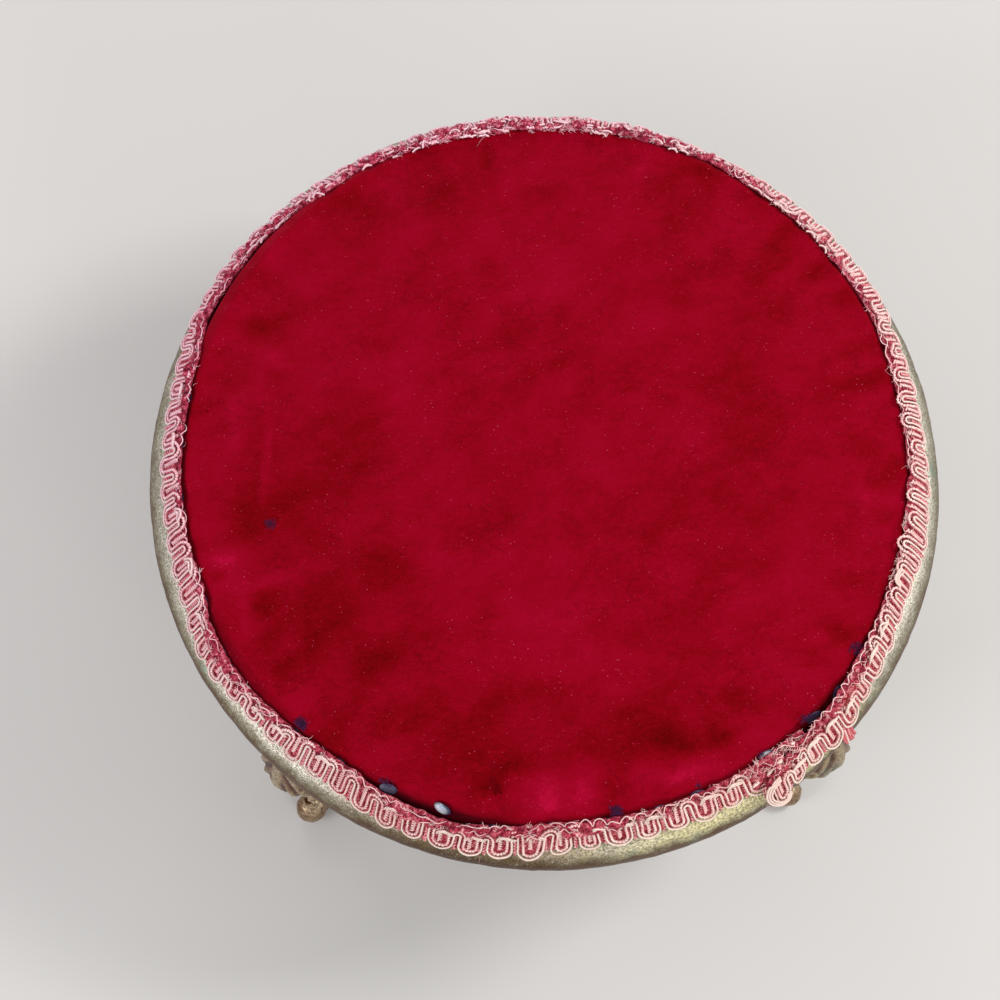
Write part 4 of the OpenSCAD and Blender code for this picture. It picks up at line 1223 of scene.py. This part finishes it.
def build_edge_threads():
    """Thin threads that scallop the upper edge, each in stretches."""
    shell = Shell()
    az = np.arange(UNDER_AZ - 0.6, OVER_AZ + 0.8, -0.14)
    upper = course(az)[0]
    phase = 2 * loop_phase(az) + 0.3 * noise(spin(120.0, 0.0, az), 9, 70)
    for strand, (thick, depth, gaps) in enumerate(((0.21, 1.6, -0.5), (0.17, 1.1, 0.3), (0.15, 0.9, 0.3))):
        flat = spin(120.0, 7.0 * strand, az)
        arch = np.abs(np.sin(np.pi * (phase + 0.37 * strand)))
        arch = arch ** 0.8 * (0.7 + 0.4 * noise(flat, 5, 68 + strand))
        sway = (0.25 + 0.4 * strand) * noise(flat, 2.9, 71 + strand)
        down = upper + 1.4 - depth * arch + sway + 1.3 * strand
        up = ground_lift(az, down) + 0.1 + 0.2 * noise(flat, 3.7, 75 + strand)
        shown = noise(flat, 7, 79 + strand) > gaps + 0.8 * bump_at(az, -180, 70)
        edges = np.flatnonzero(np.diff(np.concatenate([[0], shown, [0]])))
        for start, stop in zip(edges[::2], edges[1::2]):
            if stop - start > 8:
                part = slice(start, stop)
                taper = np.sqrt(np.sin(np.linspace(0.15, np.pi - 0.15, stop - start)))
                lay(shell, az[part], down[part], up[part], thick * taper, 6)
    shell.piece("braid_edge_threads", HAIRS, "braid")


build_tacks()
build_ground()
build_cream_cord()
build_pink_cord()
build_core_threads()
build_edge_threads()


# Loose hairs on the braid, and lint on the velvet

def hair(shell, start, heading, length, curl, radius, rng):
    """A hair that curls to one side, with a wave in it."""
    t = np.linspace(0, 1, 9)[:, None]
    bend = unit(rng.normal(0, 1, 3))
    side = unit(np.cross(heading, bend))
    wave = bend * 0.12 * length * np.sin(t * rng.uniform(3, 7))
    path = start + heading * t * length + side * curl * length * t * t + wave
    shell.tube(path, radius * (1 - 0.5 * t[:, 0]), 4, unit(rng.normal(0, 1, 3)))


def face_frame(az, down):
    """Three directions on the braid's face: outwards, towards its upper edge, and along it."""
    n = face_normal(az, down)
    inward = unit(drape(az, down - 1.0) - drape(az, down))
    return n, inward, np.cross(n, inward)


def build_hairs():
    rng = np.random.default_rng(81)
    shell = Shell()
    for _ in range(330):
        back = rng.random() < 0.4
        az = rng.uniform(-235, -125) if back else rng.uniform(OVER_AZ + 1, UNDER_AZ - 1)
        upper, tops, bottom = course_at(az)
        edge = rng.random()
        down = upper + rng.normal(0, 0.5) if edge < 0.62 else rng.uniform(tops, bottom)
        n, inward, along = face_frame(az, down)
        out = n * rng.uniform(0.0, 0.7)
        heading = unit(out + inward * rng.uniform(-0.4, 0.5) + along * rng.normal(0, 1.2))
        length = rng.gamma(2.5, 0.45) + 0.5
        hair(shell, drape(az, down, 0.5), heading, length, *rng.uniform((-1.2, 0.045), (1.2, 0.07)), rng)

    # Tufts, with more of them at the back and on the crumpled under end
    for _ in range(230):
        spot = rng.random()
        az = rng.uniform(OVER_AZ + 1, UNDER_AZ - 1)
        if spot > 0.75:
            az = rng.uniform(-225, -135)
        if spot < 0.08:
            az = rng.uniform(27, UNDER_AZ - 1)
        upper, tops, bottom = course_at(az)
        down = upper + rng.uniform(0.0, 1.0) ** 1.5 * (tops - upper + 2.5)
        turn = rng.normal(0, 0.6)
        for _ in range(7):
            a, d = az + mm_to_deg(rng.normal(0, 0.5)), down + rng.normal(0, 0.4)
            start = drape(a, d, ground_lift(a, d) + rng.uniform(0.0, 0.4))
            n, inward, along = face_frame(a, d)
            way = turn + rng.normal(0, 0.5)
            flat = inward * math.sin(way) + along * math.cos(way)
            heading = unit(flat + n * rng.uniform(-0.1, 0.35))
            hair(shell, start, heading, *rng.uniform((0.8, -0.8, 0.08), (1.9, 0.8, 0.13)), rng)

    # Threads out of the strip's two ends
    for az, count, way in ((OVER_AZ + 0.6, 26, 1), (UNDER_AZ - 1.0, 10, -1)):
        upper, _, bottom = course_at(az)
        for _ in range(count):
            down = rng.uniform(upper, bottom)
            start = drape(az, down, rng.uniform(-0.3, 0.6))
            forward = unit(drape(az - 1.0, down) - drape(az, down)) * way
            heading = unit(forward + rng.normal(0, 0.35, 3))
            hair(shell, start, heading, *rng.uniform((0.8, -0.4), (2.6, 0.4)), 0.09, rng)
    shell.piece("braid_loose_hairs", HAIRS, "braid")


# Azimuth, radius, spread in mm, number of fibres
LINT_SPOTS = (
    (-44.1, 121.3, 2.6, 300), (7.6, 121.0, 2.4, 200), (54.5, 120.6, 2.8, 160), (-28.2, 122.6, 2.6, 130),
    (-77.8, 94.7, 2.3, 90), (-72.8, 65.2, 1.2, 18), (64.7, 15.3, 2.5, 16), (118.7, 8.8, 2.0, 12),
    (40.6, 121.9, 2.4, 110), (20.8, 120.2, 1.3, 26), (31.5, 121.8, 1.6, 30))


def build_lint():
    rng = np.random.default_rng(91)
    shell = Shell()
    for az, r, spread, count in LINT_SPOTS:
        for _ in range(count):
            out, aside = rng.normal(0, spread * 0.45, 2).clip(-0.8 * spread, 0.8 * spread)
            radius = min(r + out, TOP_R + 2.0)
            height = crown_height(min(radius, TOP_R), COVER_T) + 0.25 * (radius < 110) - 0.1
            start = spin(radius, height, az + aside / (DEG * max(r, 8)))
            heading = unit(np.array([*rng.normal(0, 0.8, 2), rng.uniform(0.1, 0.6)]))
            hair(shell, start, heading, *rng.uniform((0.3, -1.2, 0.06), (0.75, 1.2, 0.1)), rng)
    shell.piece("lint", LINT, "velvet")


build_hairs()
build_lint()


# Legs

PLATE_T = 3.0
PLATE_W = 28.0
PLATE_Z = UNDER_Z - PLATE_T
PLATE_R = RIM_R - 41.0
ROOT_R = RIM_R - 14.5
KNEE_D = 21.5
KNEE_W = 25.0
KNEE_R = RIM_R + 2.5 - KNEE_D / 2
KNEE_DROP = 20.0
KNEE_Z = UNDER_Z - KNEE_DROP
ANKLE_R = RIM_R - 24.4
ANKLE_Z = 32.0
ANKLE_D = 9.0
ANKLE_W = 9.5
# The plate's screw holes, and a screw's head and hole
SCREW_PLACES = ((98.5, 0.0), (103.5, 8.5), (103.5, -8.5))
SCREW_HEAD_R = 3.8
SCREW_HOLE_R = 1.95
TOE_R = 6.0
TOE_CR = RIM_R - 5.9
TOE_CZ = TOE_R - 0.4

# The leg's line from its root to its toe: distance out, height, depth and width
LEG_STATIONS = np.array([
    [ROOT_R, PLATE_Z + PLATE_T / 3, KNEE_D * 0.79, KNEE_W + 2],
    [mix(ROOT_R, KNEE_R, 0.09), PLATE_Z - 2.5, KNEE_D * 0.88, KNEE_W + 2],
    [mix(ROOT_R, KNEE_R, 0.55), mix(PLATE_Z, KNEE_Z, 0.53), KNEE_D * 1.02, KNEE_W + 1.5],
    [KNEE_R, KNEE_Z, KNEE_D, KNEE_W],
    [KNEE_R + 0.4, KNEE_Z - KNEE_DROP * 0.38, KNEE_D * 0.95, KNEE_W * 0.92],
    [KNEE_R - 2, KNEE_Z - KNEE_DROP * 0.67, KNEE_D * 0.72, KNEE_W * 0.76],
    [mix(KNEE_R, ANKLE_R, 0.47), mix(KNEE_Z, ANKLE_Z, 0.47),
     mix(KNEE_D, ANKLE_D, 0.68), mix(KNEE_W, ANKLE_W, 0.68)],
    [mix(KNEE_R, ANKLE_R, 0.81), mix(KNEE_Z, ANKLE_Z, 0.75),
     mix(KNEE_D, ANKLE_D, 0.88), mix(KNEE_W, ANKLE_W, 0.87)],
    [ANKLE_R, ANKLE_Z, ANKLE_D, ANKLE_W],
    [mix(ANKLE_R, TOE_CR, 0.09), mix(ANKLE_Z, TOE_CZ, 0.55), ANKLE_D * 0.94, ANKLE_W],
    [mix(ANKLE_R, TOE_CR, 0.43), TOE_CZ + ANKLE_D * 0.38, ANKLE_D * 0.94, mix(ANKLE_W, 2 * TOE_R, 0.3)],
    [TOE_CR - TOE_R * 0.35, TOE_CZ + TOE_R * 0.1, ANKLE_D * 0.9, mix(ANKLE_W, 2 * TOE_R, 0.3)]])


def spline(stations, steps):
    """A smooth curve through the stations."""
    last = len(stations) - 1
    rows = []
    for i in range(last):
        a, b, c, d = (stations[min(max(j, 0), last)] for j in (i - 1, i, i + 1, i + 2))
        t = np.linspace(0, 1, steps, endpoint=i == last - 1)[:, None]
        rows.append(0.5 * (2 * b + (c - a) * t + (2 * a - 5 * b + 4 * c - d) * t * t
                           + (3 * b - a - 3 * c + d) * t ** 3))
    return np.concatenate(rows)


def signed_power(v, p):
    """A power that keeps its sign."""
    return np.sign(v) * np.abs(v) ** p


def leaf_relief(q, a):
    """Acanthus relief in mm. q is the way down the leg in mm, and a the angle from its front in degrees.

    The knee's leaf ends 62 down, a collar lies at 84 to 87, and the toe's tongue starts at 91.
    """
    side = np.abs(a)
    full = 98 * np.clip(1 - (np.clip(q - 8, 0, None) / 54) ** 1.35, 0, 1)
    lobe = 13.0
    lobes = 0.5 + 0.5 * np.cos(2 * np.pi * (q - 6) / lobe - side / 60)
    reach = full * (1 - 0.3 * lobes)
    leaf = ease((reach - side) / 7)
    lip = bump_at(reach - side, 6, 6)
    rib = bump_at(a, 0, 5.5)
    veins = 0.5 + 0.5 * np.cos(2 * np.pi * (q / 9.0 - side / 24))
    folds = 1 - lobes
    relief = leaf * (0.9 + 0.8 * lip + 0.9 * rib + 0.7 * folds * ease(side / 18))
    relief = relief - 1.1 * veins * leaf * ease((side - 5) / 8) * ease((reach - side) / 12)
    tip = 1.9 * bump_at(q, 56, 3.2) * bump_at(a, 0, 24)
    collar = 0.9 * bump_at(q, 84, 1.3) + 0.6 * bump_at(q, 87.2, 1.1)
    low = 44 * np.clip((q - 91) / 26, 0, 1) ** 0.7
    tongue = 0.8 * ease((low - side) / 9) + 0.5 * bump_at(a, 0, 7) * ease((q - 93) / 8)
    inset = 1.5 * ease((q - 6) / 8) * ease((66 - q) / 14)
    return (relief + tip + collar + tongue) * ease((q - 0.5) / 3) - inset


def leg_skin(shell):
    stations = spline(LEG_STATIONS, 17)
    line = stations[:, :2]
    t = unit(np.gradient(line, axis=0))
    side = np.stack([-t[:, 1], t[:, 0]], -1)
    angle = np.linspace(-180, 180, 112, endpoint=False)
    a = np.radians(angle)
    relief = leaf_relief(lengths(line)[:, None], angle[None])
    reach = signed_power(np.cos(a), 0.85)[None] * stations[:, 2:3] / 2 + relief * np.cos(a)[None]
    across = signed_power(np.sin(a), 0.85)[None] * stations[:, 3:4] / 2 + relief * np.sin(a)[None]
    r = line[:, :1] + side[:, :1] * reach
    z = line[:, 1:] + side[:, 1:] * reach
    points = np.stack([r, across, np.minimum(z, UNDER_Z - 0.05)], -1)
    points = points + 0.09 * noise(points, 1.6, 101)[..., None] * unit(points - points.mean(1, keepdims=True))
    rolls = itertools.product((-6, -3, 0, 3, 6), (-5, -2, 0, 2, 5))
    smooth = sum(np.roll(relief, roll, (0, 1)) for roll in rolls) / 25
    crest = np.clip(0.6 + 0.5 * (relief - smooth), 0, 1)
    shell.loft(points, np.stack([crest, 0 * crest], -1))


def toe_ball(shell):
    """The ball toe: a whorl winds out of an eye on its top."""
    lean = math.radians(20)
    eye = unit(np.array([-0.25, -math.sin(lean), math.cos(lean)]))
    east = unit(np.cross(eye, [0.0, 1.0, 0.2]))
    north = np.cross(eye, east)
    polar = np.linspace(0.02, np.pi - 0.02, 84)[:, None]
    turn = np.linspace(0, 2 * np.pi, 96, endpoint=False)[None]
    facing = np.cos(polar)[..., None] * eye + np.sin(polar)[..., None] * (
        np.cos(turn)[..., None] * east + np.sin(turn)[..., None] * north)
    arc = polar * TOE_R
    pitch = 2.5
    coil = (arc - turn / (2 * np.pi) * pitch) / pitch
    groove = np.abs(coil - np.round(coil)) * pitch
    depth = 0.12 * np.exp(-(groove / 0.5) ** 2) * ease(arc - 2.4) * ease((11.5 - arc) / 4)
    depth = depth + 0.75 * bump_at(arc, 1.55, 0.55)
    ball = facing * TOE_R
    radius = TOE_R - 0.3 - depth + 0.2 * noise(ball, 2.2, 103) + 0.12 * noise(ball, 1.0, 104)
    points = np.array([TOE_CR, 0, TOE_CZ]) + radius[..., None] * facing
    points[..., 2] = np.maximum(points[..., 2], 0)
    crest = 0.62 - 0.45 * bump_at(arc, 1.6, 0.7) + 0.25 * bump_at(arc, 0, 0.9)
    crest = np.clip(crest + 0.25 * noise(ball, 4.0, 105), 0, 1)
    shell.loft(points, np.stack([crest, 0 * crest], -1))


def toe_leaf(shell):
    """A curled leaf that lies over the toe and lifts at its tip."""
    t = np.linspace(0, 1, 26)
    r = mix(ANKLE_R + 3.6, TOE_CR - 2.6, t)
    z = 20.5 - 7.6 * np.sin(t * np.pi / 2) ** 0.8 + 2.2 * ease((t - 0.72) / 0.28)
    width = 3.6 * (1 - t ** 2.2) ** 0.5 + 0.2
    sides = np.linspace(-1, 1, 15)
    top = np.stack([r[:, None] + 0 * sides, sides * width[:, None],
                    z[:, None] + 0.55 - 0.9 * (sides ** 2) + 0.45 * np.abs(np.cos(sides * 4.4))], -1)
    under = top[:, ::-1] - [0, 0, 0.9]
    ring = np.concatenate([top, under], axis=1)
    shell.loft(ring, np.full((*ring.shape[:2], 2), 0.6))


def leg_plate():
    """The mounting plate with its countersunk holes, as points and faces in the leg's own plane."""
    bm = bmesh.new()
    end_r = PLATE_W / 2
    turn = np.linspace(0.0, math.pi, 33)
    outline = [(PLATE_R + end_r - end_r * math.sin(a), end_r * math.cos(a)) for a in turn]
    outline += [(TUBE_CR, -end_r), (TUBE_CR, end_r)]
    face = bm.faces.new([bm.verts.new((x * MM, y * MM, PLATE_Z * MM)) for x, y in outline])
    pulled = bmesh.ops.extrude_face_region(bm, geom=[face])["geom"]
    pulled = [element for element in pulled if isinstance(element, bmesh.types.BMVert)]
    bmesh.ops.translate(bm, vec=(0, 0, PLATE_T * MM), verts=pulled)
    bmesh.ops.recalc_face_normals(bm, faces=bm.faces)
    plate_mesh = bpy.data.meshes.new("plate")
    bm.to_mesh(plate_mesh)
    bm.free()
    plate = link("plate", plate_mesh)
    cutters = []
    for x, y in SCREW_PLACES:
        bm = bmesh.new()
        for low_r, deep, above in ((SCREW_HEAD_R, 1.9, 0.9), (SCREW_HOLE_R, 5, 2.5)):
            place = Matrix.Translation((x * MM, y * MM, (PLATE_Z + above) * MM))
            bmesh.ops.create_cone(bm, cap_ends=True, segments=32, radius1=low_r * MM,
                                  radius2=SCREW_HOLE_R * MM, depth=deep * MM, matrix=place)
        cut_mesh = bpy.data.meshes.new("cut")
        bm.to_mesh(cut_mesh)
        bm.free()
        cutters.append(link("cut", cut_mesh))
        boolean = plate.modifiers.new("hole", "BOOLEAN")
        boolean.object = cutters[-1]
        boolean.operation = "DIFFERENCE"
        boolean.solver = "EXACT"
        boolean.use_self = True
    done, points = applied(plate)
    faces = [np.array([list(p.vertices)]) for p in done.polygons]
    for obj in (plate, *cutters):
        bpy.data.objects.remove(obj)
    return points, faces


# The cast legs differ a little: how far each stands out at its knee and at its toe
SPLAY = {"front_left": (-1.0, -2.7), "front_right": (1.2, 0.2),
         "back_left": (0.3, -0.5), "back_right": (-0.4, 0.3)}


def build_legs():
    whole = Shell()
    leg_skin(whole)
    toe_ball(whole)
    toe_leaf(whole)
    plate_points, plate_faces = leg_plate()
    whole.add(plate_points, plate_faces, np.full((len(plate_points), 2), 0.5))
    out, across, z = np.concatenate(whole.points).T
    for name, az in zip(LEG_NAMES, LEG_AZ):
        sine, cosine = math.sin(math.radians(az)), math.cos(math.radians(az))
        at_knee, at_toe = SPLAY[name]
        moved = out + at_knee * ease((PLATE_Z - z) / 14) * ease((z - 50) / 30) + at_toe * ease((70 - z) / 55)
        placed = np.stack([moved * sine + across * cosine, across * sine - moved * cosine, z], -1)
        leg = Shell()
        leg.add(placed, whole.faces, np.concatenate(whole.uvs))
        leg.piece("leg_casting_" + name, LEG_BRASS, "leg_brass", ["leg_" + name], 45)


build_legs()


# Bottom cloth and its tacks

def build_bottom():
    cloth_r = TUBE_CR - FLANGE_W - 3.0
    tacks, tack_r = 16, 84.0
    board_z = UNDER_Z + WALL
    az = np.linspace(-180, 180, 192, endpoint=False)[:, None]
    r = np.concatenate([[1.0], np.linspace(5, cloth_r, 40)])[None]
    points = spin(r, board_z - 0.5, az)
    held = np.exp(-(off_tack(az, r, tacks) / 7) ** 2 - ((r - tack_r) / 5) ** 2)
    ripple = 0.35 * np.cos(np.radians(az * tacks)) * bump_at(r, 80, 10)
    slack = 0.75 * (1 - (r / tack_r) ** 2).clip(0) + 0.3 - ripple
    frayed = 0.5 * noise(points, 2.5, 111) * ease(r - cloth_r + 1)
    points[..., 2] -= np.clip(slack * (1 - held) + 0.12 * noise(points, 9, 112), 0, 1.6)
    points = points + frayed[..., None] * unit(points * [1, 1, 0])
    spokes = np.concatenate([points, points[:, ::-1] + [0, 0, 0.22]], axis=1)
    shell = Shell()
    shell.disc(spokes, spokes[:, 0, 2].mean(), spokes[:, -1, 2].mean())
    cloth = shell.piece("bottom_cambric", CAMBRIC, "cambric", ["bottom_cloth"])
    rng = np.random.default_rng(113)
    shell = Shell()
    for az in 360 / tacks * np.arange(tacks):
        tilt = spin(rng.normal(0, 0.04), -1.0, az) + [0, rng.normal(0, 0.04), 0]
        add_tack(shell, spin(tack_r, board_z - 0.62, az), tilt, 2.0, 0.6, 0.5, 8.0, 0.06)
    shell.piece("bottom_tack_heads", TACK_STEEL, "tack_steel", ["bottom_tacks"], 40)


build_bottom()


# Floor, light and camera

# Half the floor's width, in metres
FLOOR = 3.0


def build_stage():
    floor_mesh = bpy.data.meshes.new("floor")
    corners = [(-FLOOR, -FLOOR, 0), (FLOOR, -FLOOR, 0), (FLOOR, FLOOR, 0), (-FLOOR, FLOOR, 0)]
    floor_mesh.from_pydata(corners, [], [(0, 1, 2, 3)])
    floor = link("floor", floor_mesh)
    f = Finish("floor", roughness=0.9, specular=0.1)
    near = f.ramp(f.noise(300, 2), (0.3, (0.64, 0.63, 0.615)), (0.7, (0.67, 0.66, 0.645)))
    apart = f.node("VectorMath", links={0: f.place}, operation="LENGTH").outputs["Value"]
    away = f.ramp(f.maths("DIVIDE", apart, 2.4), (0.3, 0.0), (1.0, 1.0))
    f.set(Base_Color=f.mix(away, near, (0.97, 0.96, 0.95)))
    floor_mesh.materials.append(f.material)
    floor.location.z = -0.0002

    world = bpy.data.worlds.new("studio")
    bpy.context.scene.world = world
    world.use_nodes = True
    background = world.node_tree.nodes["Background"]
    background.inputs["Color"].default_value = (1.0, 0.99, 0.98, 1)
    background.inputs["Strength"].default_value = 0.5

    def lamp(name, place, size, power, colour):
        data = bpy.data.lights.new(name, "AREA")
        data.shape = "RECTANGLE"
        data.size, data.size_y = size
        data.energy = power
        data.color = colour
        obj = link(name, data)
        obj.location = place
        aim = Vector((0, 0, 0.13)) - Vector(place)
        obj.rotation_mode = "QUATERNION"
        obj.rotation_quaternion = aim.to_track_quat("-Z", "Y")

    lamp("key", (0.75, 0.1, 1.0), (0.3, 0.3), 6.6, (1.0, 0.985, 0.96))
    lamp("fill", (-0.85, -0.45, 0.7), (0.5, 0.4), 4.2, (0.97, 0.96, 1.0))
    lamp("back", (-0.2, 1.0, 0.7), (0.7, 0.3), 3.0, (1.0, 0.95, 0.98))
    lamp("front", (0.4, -1.05, 0.8), (0.5, 0.3), 3.2, (1.0, 0.98, 0.95))
    lamp("side", (1.2, -0.15, 0.55), (0.3, 0.3), 1.2, (1.0, 0.98, 0.98))


# The photograph's camera
CAM_ELEVATION = 72.98
CAM_AZIMUTH = -5.54
CAM_ROLL = 2.97
CAM_DISTANCE = 819.4
CAM_TARGET = (-15.81, -8.04, 128.0)
CAM_LENS = 86.4


def build_camera():
    e, a, roll = (math.radians(v) for v in (CAM_ELEVATION, CAM_AZIMUTH, CAM_ROLL))
    back = Vector((math.sin(a) * math.cos(e), -math.cos(a) * math.cos(e), math.sin(e)))
    right = Vector((math.cos(a), math.sin(a), 0))
    up = back.cross(right)
    across = math.cos(roll) * right + math.sin(roll) * up
    upright = -math.sin(roll) * right + math.cos(roll) * up
    data = bpy.data.cameras.new("camera")
    data.lens = CAM_LENS
    data.sensor_width = 36.0
    camera = link("camera", data)
    place = (Vector(CAM_TARGET) + back * CAM_DISTANCE) * MM
    turn = Matrix((across, upright, back)).transposed()
    camera.matrix_world = Matrix.Translation(place) @ turn.to_4x4()
    bpy.context.scene.camera = camera


build_stage()
build_camera()
bpy.context.scene.view_settings.view_transform = "Standard"
